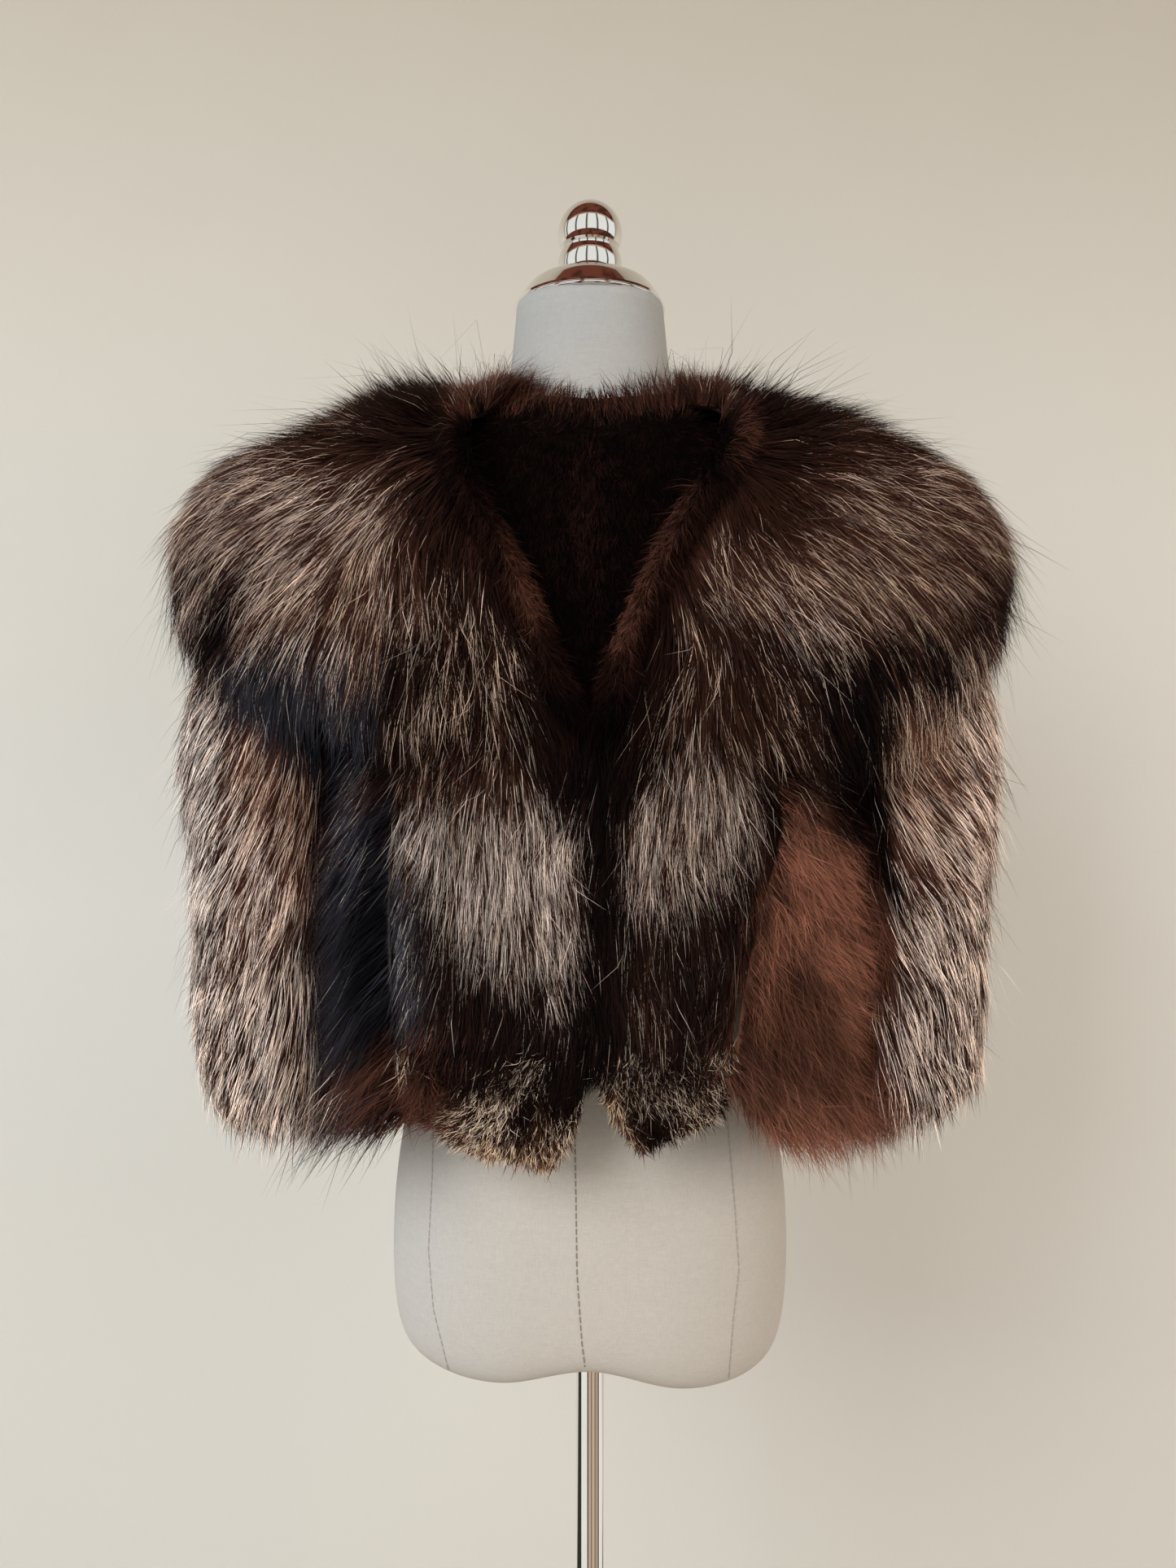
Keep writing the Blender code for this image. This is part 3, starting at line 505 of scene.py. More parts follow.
topTrim = np.array([
    (-0.36, 1.27), (-0.34, 1.3), (-0.32, 1.335), (-0.3, 1.358), (-0.28, 1.376), (-0.25, 1.383),
    (-0.22, 1.391), (-0.2, 1.405), (-0.16, 1.413), (-0.13, 1.421), (-0.11, 1.42), (-0.095, 1.421),
    (-0.075, 1.428), (-0.05, 1.424), (-0.03, 1.417), (0, 1.414), (0.025, 1.417), (0.04, 1.427),
    (0.06, 1.431), (0.08, 1.43), (0.1, 1.428), (0.12, 1.418), (0.14, 1.414), (0.18, 1.409),
    (0.22, 1.403), (0.24, 1.398), (0.26, 1.377), (0.28, 1.362), (0.3, 1.353), (0.32, 1.33),
    (0.34, 1.29), (0.36, 1.27),
])


trimming = {
    "topFrom": 1.2, "slack": 0.005, "wisps": 0.24, "neckHigh": (1.37, 1.40), "neckOuter": (0.16, 0.12),
    "neckSlack": 0.8, "tooFar": 0.022, "kept": 0.35,
}


def beyondTrim(points, slack):
    # how far in z each point has to come back to the trim lines
    across, height = facePlane(points).T
    low = np.interp(across, *hemTrim.T) - slack
    high = np.interp(across, *topTrim.T) + slack
    above = np.maximum(height - high, 0) * (height > trimming["topFrom"])
    return np.maximum(low - height, 0) - above


def trimmed(roots, middle, tip, panel, rng):
    # hair past the trim lines comes back to them, and hair far past them is cut short
    count = len(tip)
    slack = rng.exponential(trimming["slack"], count)
    slack += np.where(rng.random(count) < trimming["wisps"], rng.uniform(0, panel["wisp"], count), 0)
    beside = smoothStep(*trimming["neckHigh"], roots[:, 2])
    beside = beside * smoothStep(*trimming["neckOuter"], np.abs(roots[:, 0]))
    slack *= 1 + trimming["neckSlack"] * beside
    back = beyondTrim(tip, slack)
    far = np.abs(back) > trimming["tooFar"]
    shorter = roots + (tip - roots) * trimming["kept"]
    tip = np.where(far[:, None], shorter, tip + back[:, None] * np.array([0, 0, 1]))
    middle = np.where(far[:, None], (roots + tip) / 2, middle + back[:, None] * np.array([0, 0, 0.5]))
    return middle, tip


# coats: the share of pale hairs, their warmth and shade, the dark hairs' warmth and shade, then how
# cool and how soft the whole coat is

coats = {
    "silver": (0.80, 0.72, 1.25, 0.95, 0.66, 0.0, 0.0),
    "ruddy": (0.58, 1.00, 1.02, 1.00, 0.72, 0.0, 0.0),
    "bright": (1.00, 0.45, 1.22, 0.75, 0.52, 0.0, 0.0),
    "frost": (1.20, 0.22, 1.54, 0.40, 0.90, 0.1, 0.0),
    "taupe": (1.00, 0.54, 1.86, 0.75, 1.20, 0.0, 0.0),
    "spotted": (1.10, 0.45, 2.00, 0.55, 0.80, 0.0, 0.0),
    "russet": (0.10, 1.00, 0.90, 1.00, 0.55, 0.0, 0.0),
    "clear": (0.90, 0.55, 1.08, 0.75, 0.48, 0.0, 0.0),
    # slate and steel are blue-black hair lightened far past the blue coat, painted light for the groove beside
    # the left sleeve
    "slate": (0.20, 0.10, 1.30, 0.00, 3.60, 0.9, 0.3),
    "chestnut": (0.10, 1.00, 0.90, 1.00, 0.42, 0.0, 0.0),
    "woolSide": (0.00, 1.00, 1.00, 0.95, 1.70, 0.0, 1.0),
    "rustDeep": (0.01, 1.00, 0.60, 0.95, 0.30, 0.0, 0.3),
    "rust": (0.75, 1.00, 1.60, 1.00, 1.50, 0.0, 0.0),
    "sable": (0.22, 1.00, 0.85, 0.90, 0.45, 0.0, 0.0),
    "brown": (0.05, 1.00, 0.70, 1.00, 0.38, 0.0, 0.2),
    "umber": (0.02, 0.75, 0.60, 0.62, 0.24, 0.0, 0.0),
    "dark": (0.01, 0.50, 0.50, 0.10, 0.30, 0.0, 0.0),
    "ash": (0.07, 0.40, 0.75, 0.25, 0.50, 0.1, 0.0),
    "blue": (0.01, 0.00, 0.80, 0.00, 1.55, 1.0, 0.0),
    "steel": (0.28, 0.15, 1.10, 0.00, 3.20, 0.9, 0.2),
    "tuft": (0.44, 0.85, 1.10, 0.65, 0.26, 0.0, 0.45),
    "wisp": (0.30, 0.95, 1.15, 0.90, 0.32, 0.0, 0.3),
    "ear": (0.10, 0.60, 0.70, 0.60, 0.75, 0.1, 0.8),
    "wool": (0.00, 1.00, 1.00, 1.00, 2.15, 0.0, 1.0),
    "woolDark": (0.00, 1.00, 1.00, 0.90, 0.85, 0.0, 1.0),
    "woolPale": (0.00, 1.00, 1.00, 1.00, 2.60, 0.0, 1.0),
    "brindleDim": (0.58, 0.60, 1.35, 0.55, 0.35, 0.0, 0.0),
    "brindle": (0.78, 0.60, 1.60, 0.60, 0.42, 0.0, 0.0),
    "plush": (0.00, 1.00, 1.00, 1.00, 1.30, 0.0, 0.6),
    "plushDim": (0.00, 1.00, 1.00, 0.80, 0.20, 0.0, 0.6),
    "tan": (0.10, 1.00, 1.00, 0.90, 1.55, 0.0, 0.8),
    "tanDim": (0.06, 1.00, 0.90, 0.90, 0.90, 0.0, 0.6),
    "black": (0.00, 0.20, 0.20, 0.25, 0.22, 0.0, 0.5),
}

# the coats' outlines on the plane that faces the front, later ones over earlier ones
frontZones = [
    # left sleeve
    ("frost", [(-0.35, 1.1), (-0.34, 1.18), (-0.3, 1.15), (-0.29, 1.1), (-0.295, 1.04), (-0.295, 0.98),
        (-0.3, 0.92), (-0.305, 0.88), (-0.34, 0.9)]),
    ("rust", [(-0.295, 1.125), (-0.27, 1.13), (-0.245, 1.12), (-0.225, 1.095), (-0.21, 1.06),
        (-0.205, 1.01), (-0.21, 0.97), (-0.23, 0.98), (-0.235, 1.03), (-0.25, 1.06), (-0.28, 1.09)]),
    ("umber", [(-0.218, 1.08), (-0.2, 1.06), (-0.195, 1), (-0.19, 0.92), (-0.17, 0.87), (-0.2, 0.89),
        (-0.208, 0.96), (-0.215, 1)]),
    ("spotted", [(-0.31, 0.93), (-0.27, 0.945), (-0.23, 0.93), (-0.215, 0.88), (-0.2, 0.79),
        (-0.33, 0.79)]),
    # left cape
    ("sable", [(-0.35, 1.44), (-0.34, 1.37), (-0.28, 1.352), (-0.24, 1.345), (-0.2, 1.338),
        (-0.175, 1.325), (-0.15, 1.3), (-0.13, 1.35), (-0.15, 1.44)]),
    ("umber", [(-0.205, 1.46), (-0.2, 1.385), (-0.185, 1.355), (-0.165, 1.335), (-0.14, 1.32),
        (-0.1, 1.36), (-0.02, 1.38), (-0.02, 1.46)]),
    ("tan", [(-0.135, 1.46), (-0.13, 1.405), (-0.1, 1.4), (-0.02, 1.405), (-0.02, 1.46)]),
    ("ruddy", [(-0.21, 1.25), (-0.195, 1.215), (-0.19, 1.18), (-0.165, 1.18), (-0.165, 1.22),
        (-0.17, 1.27), (-0.18, 1.29), (-0.19, 1.27)]),
    ("russet", [(-0.163, 1.3), (-0.14, 1.31), (-0.12, 1.29), (-0.115, 1.25), (-0.12, 1.224),
        (-0.153, 1.224), (-0.16, 1.25)]),
    ("rustDeep", [(-0.138, 1.31), (-0.12, 1.3), (-0.105, 1.26), (-0.1, 1.235), (-0.113, 1.222),
        (-0.13, 1.226), (-0.135, 1.26)]),
    # painted shade: near-black hair in the collar, beside the rolls and down the opening between the fronts
    ("dark", [(-0.165, 1.36), (-0.15, 1.32), (-0.138, 1.295), (-0.12, 1.285), (-0.107, 1.262),
        (-0.104, 1.224), (-0.085, 1.228), (-0.068, 1.222), (-0.045, 1.205), (-0.035, 1.18),
        (-0.06, 1.16), (-0.062, 1.12), (-0.04, 1.09), (-0.02, 1.06), (-0.002, 1.03), (0, 0.98),
        (-0.006, 0.93), (-0.01, 0.8), (0.012, 0.8), (0.022, 0.93), (0.028, 1), (0.022, 1.06),
        (0.02, 1.11), (0.012, 1.15), (0.02, 1.22), (0.08, 1.225), (0.093, 1.25), (0.1, 1.285),
        (0.105, 1.32), (0.15, 1.335), (0.17, 1.36), (0.14, 1.39), (0.03, 1.4), (-0.1, 1.4)]),
    ("umber", [(-0.055, 1.165), (-0.03, 1.17), (-0.012, 1.16), (-0.012, 1.11), (-0.03, 1.1),
        (-0.052, 1.12)]),
    ("brown", [(-0.102, 1.255), (-0.095, 1.272), (-0.084, 1.262), (-0.082, 1.245), (-0.095, 1.238)]),
    ("dark", [(-0.34, 1.25), (-0.315, 1.27), (-0.29, 1.265), (-0.28, 1.23), (-0.275, 1.2),
        (-0.29, 1.17), (-0.32, 1.185), (-0.34, 1.22)]),
    ("silver", [(-0.33, 1.235), (-0.318, 1.26), (-0.308, 1.26), (-0.31, 1.22), (-0.32, 1.205)]),
    ("blue", [(-0.298, 1.19), (-0.27, 1.195), (-0.22, 1.18), (-0.2, 1.165), (-0.18, 1.158),
        (-0.165, 1.165), (-0.15, 1.19), (-0.13, 1.197), (-0.122, 1.188), (-0.145, 1.17), (-0.158, 1.14),
        (-0.162, 1.115), (-0.178, 1.09), (-0.182, 1.07), (-0.178, 1.05), (-0.17, 1.02), (-0.15, 1),
        (-0.14, 0.97), (-0.132, 0.93), (-0.125, 0.9), (-0.14, 0.87), (-0.185, 0.86), (-0.195, 0.9),
        (-0.197, 0.98), (-0.203, 1.02), (-0.208, 1.05), (-0.217, 1.08), (-0.23, 1.1), (-0.245, 1.12),
        (-0.265, 1.135), (-0.29, 1.15)]),
    ("dark", [(-0.165, 1.197), (-0.14, 1.199), (-0.122, 1.206), (-0.118, 1.19), (-0.136, 1.176),
        (-0.149, 1.15), (-0.158, 1.115), (-0.172, 1.1), (-0.175, 1.13), (-0.168, 1.16), (-0.17, 1.18)]),
    # painted light: steel and slate lighten the blue-black hair in the groove beside the left sleeve, against
    # the shade that falls there; steel's grey strands are the coat's own
    ("steel", [(-0.182, 1.1), (-0.165, 1.085), (-0.158, 1.05), (-0.15, 1.02), (-0.135, 0.97),
        (-0.122, 0.93), (-0.12, 0.9), (-0.15, 0.9), (-0.165, 0.95), (-0.172, 1), (-0.18, 1.05)]),
    ("slate", [(-0.192, 1.085), (-0.17, 1.09), (-0.155, 1.06), (-0.148, 1.03), (-0.152, 1), (-0.175, 1),
        (-0.19, 1.03)]),
    ("brown", [(-0.228, 1.095), (-0.21, 1.09), (-0.202, 1.05), (-0.202, 1.02), (-0.215, 1.04),
        (-0.226, 1.07)]),
    ("tuft", [(-0.112, 1.22), (-0.095, 1.222), (-0.08, 1.228), (-0.068, 1.222), (-0.05, 1.203),
        (-0.038, 1.183), (-0.05, 1.173), (-0.064, 1.16), (-0.066, 1.13), (-0.075, 1.108), (-0.1, 1.104),
        (-0.13, 1.104), (-0.153, 1.108), (-0.158, 1.122), (-0.15, 1.15), (-0.138, 1.176), (-0.121, 1.2),
        (-0.122, 1.22)]),
    ("chestnut", [(-0.172, 1.1), (-0.153, 1.106), (-0.13, 1.108), (-0.08, 1.104), (-0.055, 1.115),
        (-0.04, 1.1), (-0.04, 1.08), (-0.08, 1.068), (-0.12, 1.07), (-0.155, 1.07), (-0.17, 1.08)]),
    ("bright", [(-0.16, 1.055), (-0.145, 1.078), (-0.12, 1.072), (-0.09, 1.068), (-0.06, 1.08),
        (-0.04, 1.08), (-0.018, 1.055), (-0.006, 1.03), (-0.003, 1), (-0.005, 0.95), (-0.012, 0.925),
        (-0.04, 0.93), (-0.07, 0.94), (-0.1, 0.96), (-0.115, 0.985), (-0.13, 0.995), (-0.15, 1.02)]),
    ("ash", [(-0.135, 0.96), (-0.1, 0.955), (-0.08, 0.938), (-0.04, 0.925), (-0.012, 0.925),
        (-0.01, 0.86), (-0.05, 0.87), (-0.09, 0.87), (-0.125, 0.88)]),
    ("woolSide", [(-0.2, 0.88), (-0.15, 0.88), (-0.12, 0.875), (-0.1, 0.85), (-0.1, 0.78),
        (-0.17, 0.78), (-0.2, 0.82)]),
    ("woolPale", [(-0.155, 0.84), (-0.14, 0.855), (-0.125, 0.84), (-0.135, 0.82)]),
    # right cape
    ("ruddy", [(0.08, 1.26), (0.18, 1.31), (0.21, 1.325), (0.26, 1.34), (0.31, 1.35), (0.36, 1.35),
        (0.36, 1.2), (0.25, 1.18), (0.2, 1.1), (0.1, 1.14)]),
    ("sable", [(0.15, 1.44), (0.36, 1.44), (0.34, 1.37), (0.3, 1.358), (0.26, 1.345), (0.22, 1.34),
        (0.195, 1.325), (0.195, 1.3), (0.18, 1.28), (0.15, 1.285), (0.11, 1.29), (0.12, 1.33)]),
    ("umber", [(0.02, 1.46), (0.225, 1.46), (0.22, 1.385), (0.2, 1.36), (0.185, 1.34), (0.17, 1.325),
        (0.14, 1.33), (0.12, 1.33), (0.1, 1.38), (0.02, 1.38)]),
    ("dark", [(0.08, 1.3), (0.085, 1.41), (0.125, 1.4), (0.135, 1.35), (0.115, 1.32), (0.1, 1.29)]),
    ("rustDeep", [(0.106, 1.29), (0.112, 1.322), (0.14, 1.335), (0.17, 1.33), (0.193, 1.315),
        (0.187, 1.29), (0.165, 1.27), (0.14, 1.266), (0.118, 1.27)]),
    ("umber", [(0.28, 1.225), (0.31, 1.23), (0.325, 1.27), (0.335, 1.265), (0.352, 1.235), (0.345, 1.2),
        (0.3, 1.195)]),
    ("silver", [(0.142, 1.265), (0.16, 1.272), (0.182, 1.25), (0.2, 1.218), (0.212, 1.195),
        (0.185, 1.178), (0.168, 1.205), (0.15, 1.235)]),
    # painted shade: near-black under the right cape's hem, in the gap above the sleeve and down the groove
    # beside it
    ("dark", [(0.17, 1.186), (0.205, 1.192), (0.225, 1.204), (0.26, 1.212), (0.288, 1.21),
        (0.298, 1.178), (0.282, 1.155), (0.262, 1.145), (0.24, 1.13), (0.237, 1.1), (0.244, 1.06),
        (0.253, 1), (0.253, 0.965), (0.237, 0.985), (0.222, 1.02), (0.205, 1.055), (0.185, 1.062),
        (0.165, 1.06), (0.178, 1.09), (0.185, 1.12), (0.183, 1.15)]),
    ("dark", [(0.085, 1.225), (0.1, 1.235), (0.12, 1.225), (0.135, 1.21), (0.165, 1.205), (0.165, 1.18),
        (0.18, 1.15), (0.18, 1.11), (0.17, 1.08), (0.155, 1.07), (0.145, 1.1), (0.1, 1.135),
        (0.07, 1.12), (0.08, 1.18)]),
    ("russet", [(0.07, 1.115), (0.088, 1.142), (0.1, 1.155), (0.12, 1.15), (0.14, 1.138), (0.158, 1.11),
        (0.15, 1.088), (0.13, 1.085), (0.11, 1.095), (0.09, 1.105)]),
    ("wisp", [(0.09, 1.242), (0.104, 1.238), (0.101, 1.2), (0.096, 1.175), (0.09, 1.15), (0.082, 1.122),
        (0.06, 1.112), (0.066, 1.14), (0.073, 1.165), (0.081, 1.2)]),
    ("wisp", [(0.1, 1.205), (0.107, 1.203), (0.113, 1.18), (0.126, 1.155), (0.137, 1.13), (0.12, 1.125),
        (0.108, 1.15), (0.1, 1.17)]),
    ("wisp", [(0.132, 1.175), (0.15, 1.185), (0.165, 1.18), (0.18, 1.152), (0.183, 1.12), (0.178, 1.09),
        (0.165, 1.072), (0.156, 1.078), (0.15, 1.1), (0.14, 1.135)]),
    ("tanDim", [(0.03, 1.46), (0.03, 1.41), (0.08, 1.405), (0.125, 1.4), (0.13, 1.46)]),
    ("tuft", [(0.118, 1.225), (0.135, 1.212), (0.152, 1.185), (0.168, 1.16), (0.158, 1.155),
        (0.14, 1.18), (0.12, 1.21)]),
    ("ear", [(0.104, 1.21), (0.12, 1.21), (0.134, 1.192), (0.134, 1.174), (0.118, 1.17),
        (0.107, 1.187)]),
    ("umber", [(0.02, 1.22), (0.05, 1.222), (0.078, 1.222), (0.076, 1.19), (0.068, 1.155),
        (0.052, 1.12), (0.03, 1.1), (0.018, 1.13)]),
    ("clear", [(0.028, 1.072), (0.04, 1.092), (0.06, 1.104), (0.09, 1.108), (0.118, 1.105),
        (0.138, 1.1), (0.142, 1.07), (0.138, 1.05), (0.118, 1.03), (0.105, 1.01), (0.09, 1),
        (0.07, 0.99), (0.045, 0.98), (0.032, 0.99), (0.028, 1.02), (0.029, 1.05)]),
    ("ash", [(0.03, 0.985), (0.06, 0.985), (0.09, 0.995), (0.11, 1.01), (0.135, 1.035), (0.132, 0.99),
        (0.122, 0.96), (0.115, 0.93), (0.105, 0.91), (0.1, 0.86), (0.02, 0.86), (0.015, 0.95)]),
    ("wisp", [(0.034, 0.93), (0.045, 0.935), (0.06, 0.9), (0.058, 0.87), (0.042, 0.88)]),
    # right side and sleeve
    ("rust", [(0.24, 1.13), (0.26, 1.155), (0.28, 1.14), (0.295, 1.11), (0.285, 1.09), (0.27, 1.07),
        (0.26, 1.03), (0.25, 1.03), (0.244, 1.07)]),
    ("spotted", [(0.255, 0.98), (0.32, 1), (0.32, 0.86), (0.29, 0.8), (0.235, 0.8), (0.24, 0.9)]),
    ("wool", [(0.148, 1.035), (0.158, 1.058), (0.185, 1.062), (0.207, 1.052), (0.217, 1.04),
        (0.232, 1.01), (0.25, 0.985), (0.257, 0.96), (0.257, 0.93), (0.242, 0.905), (0.238, 0.87),
        (0.235, 0.84), (0.25, 0.83), (0.25, 0.76), (0.09, 0.76), (0.095, 0.84), (0.1, 0.9),
        (0.11, 0.93), (0.12, 0.97), (0.13, 1), (0.138, 1.02)]),
    ("woolPale", [(0.155, 1.045), (0.2, 1.05), (0.213, 1.02), (0.205, 0.985), (0.17, 0.975),
        (0.145, 0.99)]),
    ("woolDark", [(0.112, 0.87), (0.135, 0.91), (0.16, 0.945), (0.185, 0.94), (0.212, 0.9),
        (0.225, 0.86), (0.215, 0.825), (0.125, 0.822)]),
    ("dark", [(0.146, 1.085), (0.153, 1.085), (0.16, 1.068), (0.155, 1.055), (0.146, 1.035),
        (0.142, 1.05)]),
]
snoutZones = [
    ("dark", [(-0.14, 0.93), (0.02, 0.93), (0.02, 0.862), (0, 0.86), (-0.012, 0.83), (-0.028, 0.815),
        (-0.035, 0.845), (-0.042, 0.872), (-0.08, 0.872), (-0.088, 0.85), (-0.11, 0.845),
        (-0.14, 0.85)]),
    ("black", [(-0.068, 0.842), (-0.052, 0.85), (-0.036, 0.858), (-0.026, 0.842), (-0.03, 0.822),
        (-0.04, 0.81), (-0.052, 0.804), (-0.062, 0.816)]),
    ("wisp", [(-0.048, 0.832), (-0.036, 0.836), (-0.028, 0.825), (-0.032, 0.808), (-0.046, 0.806)]),
    ("rust", [(-0.12, 0.812), (-0.08, 0.806), (-0.05, 0.803), (-0.03, 0.797), (-0.015, 0.815),
        (-0.02, 0.775), (-0.12, 0.78)]),
    ("plush", [(-0.175, 0.885), (-0.125, 0.872), (-0.115, 0.84), (-0.115, 0.81), (-0.13, 0.8),
        (-0.175, 0.8)]),
    ("dark", [(0, 0.94), (0.12, 0.94), (0.12, 0.9), (0.092, 0.905), (0.082, 0.885), (0.072, 0.862),
        (0.055, 0.875), (0.03, 0.885), (0, 0.875)]),
    ("black", [(0.026, 0.83), (0.036, 0.838), (0.06, 0.842), (0.074, 0.83), (0.072, 0.81),
        (0.05, 0.795), (0.03, 0.8)]),
    ("rust", [(0.008, 0.85), (0.016, 0.85), (0.026, 0.825), (0.036, 0.81), (0.045, 0.8), (0.03, 0.79),
        (0.005, 0.82)]),
]
# on the rolls, plushDim over the left roll and the right roll's outer half is painted shade, and the plush
# patch on the left roll is a painted highlight
rollZones = [
    ("plushDim", [(-0.14, 1.4), (-0.04, 1.4), (0, 1.2), (0, 1.05), (-0.13, 1.05)]),
    ("plushDim", [(0.13, 1.38), (0.1, 1.35), (0.082, 1.32), (0.068, 1.29), (0.055, 1.262),
        (0.04, 1.235), (0.028, 1.2), (0, 1.19), (0, 1.05), (0.13, 1.05)]),
    ("plush", [(-0.072, 1.295), (-0.062, 1.3), (-0.045, 1.265), (-0.03, 1.235), (-0.04, 1.222),
        (-0.056, 1.235)]),
    ("black", [(-0.16, 1.46), (-0.04, 1.46), (-0.04, 1.36), (-0.09, 1.32), (-0.12, 1.33)]),
    ("black", [(0.16, 1.46), (0.04, 1.46), (0.05, 1.37), (0.078, 1.328), (0.12, 1.325)]),
    ("black", [(-0.1, 1.165), (0.1, 1.165), (0.1, 1.04), (-0.1, 1.04)]),
    ("tan", [(-0.15, 1.4), (-0.12, 1.47), (-0.02, 1.47), (-0.03, 1.415), (-0.06, 1.408),
        (-0.09, 1.405)]),
    ("tanDim", [(0.02, 1.415), (0.03, 1.47), (0.15, 1.47), (0.13, 1.4), (0.07, 1.412)]),
]
yokeZones = [
    ("umber", [(-0.015, 1.36), (0.005, 1.36), (0.01, 1.3), (0.005, 1.25), (-0.01, 1.25),
        (-0.015, 1.3)]),
    ("plushDim", [(-0.12, 1.405), (-0.12, 1.47), (0.12, 1.47), (0.12, 1.405), (0.06, 1.412),
        (0.02, 1.404), (-0.03, 1.404)]),
    ("tanDim", [(-0.05, 1.411), (-0.05, 1.47), (0.05, 1.47), (0.05, 1.411)]),
    ("tanDim", [(0.035, 1.412), (0.03, 1.47), (0.13, 1.47), (0.12, 1.405), (0.08, 1.408)]),
    ("tan", [(-0.15, 1.4), (-0.12, 1.47), (-0.02, 1.47), (-0.03, 1.417), (-0.06, 1.408),
        (-0.09, 1.405)]),
]


def bothSides(coat, outline):
    return (coat, outline), (coat, [(-x, z) for x, z in outline])


backZones = [
    ("umber", [(-0.15, 1.44), (0.15, 1.44), (0.16, 1.37), (0.08, 1.345), (0, 1.335), (-0.08, 1.345),
        (-0.16, 1.37)]),
    ("dark", [(-0.02, 1.36), (0.02, 1.36), (0.03, 1.19), (-0.03, 1.19)]),
    *bothSides("dark", [(-0.15, 1.19), (-0.12, 1.24), (-0.09, 1.19), (-0.09, 1.14), (-0.15, 1.14)]),
    ("dark", [(-0.02, 1.16), (0.02, 1.16), (0.025, 0.83), (-0.025, 0.83)]),
    *bothSides("bright", [(-0.1, 1.12), (-0.035, 1.12), (-0.03, 0.98), (-0.09, 0.98)]),
    *bothSides("russet", [(-0.11, 0.98), (-0.03, 0.98), (-0.03, 0.94), (-0.1, 0.94)]),
    *bothSides("dark", [(-0.15, 1.14), (-0.115, 1.14), (-0.115, 0.86), (-0.15, 0.86)]),
    ("dark", [(-0.18, 0.875), (0.18, 0.875), (0.18, 0.8), (-0.18, 0.8)]),
]


def insideBy(places, outline):
    # how far inside a closed outline each place lies, negative outside it
    start = np.array(outline)
    edge = np.roll(start, -1, 0) - start
    out = places[:, None] - start[None]
    along = np.clip((out * edge).sum(2) / (edge**2).sum(1), 0, 1)
    gap = np.sqrt(((out - along[:, :, None] * edge) ** 2).sum(2).min(1))
    end = start + edge
    spans = (start[:, 1] > places[:, 1:]) != (end[:, 1] > places[:, 1:])
    rise = np.where(np.abs(edge[:, 1]) < 1e-9, 1e-9, edge[:, 1])
    meets = start[:, 0] + (places[:, 1:] - start[:, 1]) * edge[:, 0] / rise
    inside = (spans & (places[:, :1] < meets)).sum(1) % 2 == 1
    return np.where(inside, gap, -gap)


zoneEdge = {
    "soft": 0.008, "ragged": 0.006, "wave": (0.02, 1), "ripple": (0.008, 4), "rippleShare": 0.6,
    "rearFrom": 0.03,
}


def coatAt(points, base, zones):
    # the coat numbers at each point, with ragged edges between the zones
    found = np.tile(np.array(coats[base]), (len(points), 1))
    wobble = drift(points, *zoneEdge["wave"]) + zoneEdge["rippleShare"] * drift(points, *zoneEdge["ripple"])
    wobble = zoneEdge["ragged"] * wobble
    rear, soft = points[:, 1] > zoneEdge["rearFrom"], zoneEdge["soft"]
    for table, places, rows in (
        (backZones, points[:, [0, 2]], rear),
        (zones, facePlane(points), ~rear),
    ):
        if not rows.any():
            continue
        part = found[rows]
        spots, ragged = places[rows], wobble[rows]
        for coat, outline in table:
            low, high = np.min(outline, 0) - 0.02, np.max(outline, 0) + 0.02
            near = np.flatnonzero(((spots > low) & (spots < high)).all(1))
            share = smoothStep(-soft, soft, insideBy(spots[near], outline) + ragged[near])[:, None]
            part[near] = part[near] * (1 - share) + np.array(coats[coat]) * share
        found[rows] = part
    return found


# strands: tapered ribbons, bent and drawn into locks

# the hair stops this far outside the solids: a length, and a share of their size
hairOutside = {"length": 0.009, "share": 0.028}
hairLow, hairHigh = (np.array(v) for v in cadBox)
hairReach = hairOutside["length"] + hairOutside["share"] * (hairHigh - hairLow)
hairLow, hairHigh = hairLow - hairReach, hairHigh + hairReach
# how many steps each coat number is stored in, and the map that has a cell for each mix of them
coatLevels = {"pale": 9, "warm": 6, "cool": 3, "shade": 12}
shadeLeast, shadeTop = 0.10, 3.6
cellMap = {"columns": 4, "edge": 0.02, "spread": 0.3}


def scatter(mesh, count, weightAt, rng):
    # evenly spread roots, denser where weightAt says
    mesh.calc_loop_triangles()
    points, normals = vertexPlaces(mesh)
    hem = read(mesh.attributes["hem"].data, "value", 1).astype(float)
    corners = read(mesh.loop_triangles, "vertices", 3, np.int32)
    a, b, c = (points[corners[:, i]] for i in range(3))
    area = np.linalg.norm(np.cross(b - a, c - a), axis=1) / 2
    facing = unit(normals[corners].mean(1))
    weight = area * weightAt((a + b + c) / 3, facing)
    picked = rng.choice(len(corners), count, p=weight / weight.sum())
    u, v = rng.random((2, count))
    flip = u + v > 1
    u[flip], v[flip] = 1 - u[flip], 1 - v[flip]
    share = np.stack([1 - u - v, u, v], 1)
    at = corners[picked]
    roots = (points[at] * share[:, :, None]).sum(1)
    return roots, unit((normals[at] * share[:, :, None]).sum(1)), (hem[at] * share).sum(1)


def nearest(places, guides):
    tree = kdtree.KDTree(len(guides))
    for index, place in enumerate(guides):
        tree.insert(place, index)
    tree.balance()
    return np.array([tree.find(place)[1] for place in places])


# how much strands and whole locks differ from their coat
toneSpread = {
    "pale": (0.84, 0.16), "lockPale": 0.08, "darkPale": 0.03, "warm": 0.11, "lockWarm": 0.10,
    "shade": 0.18, "lockShade": 0.14, "shadeRange": (0.3, 1.8), "soft": 0.3,
}


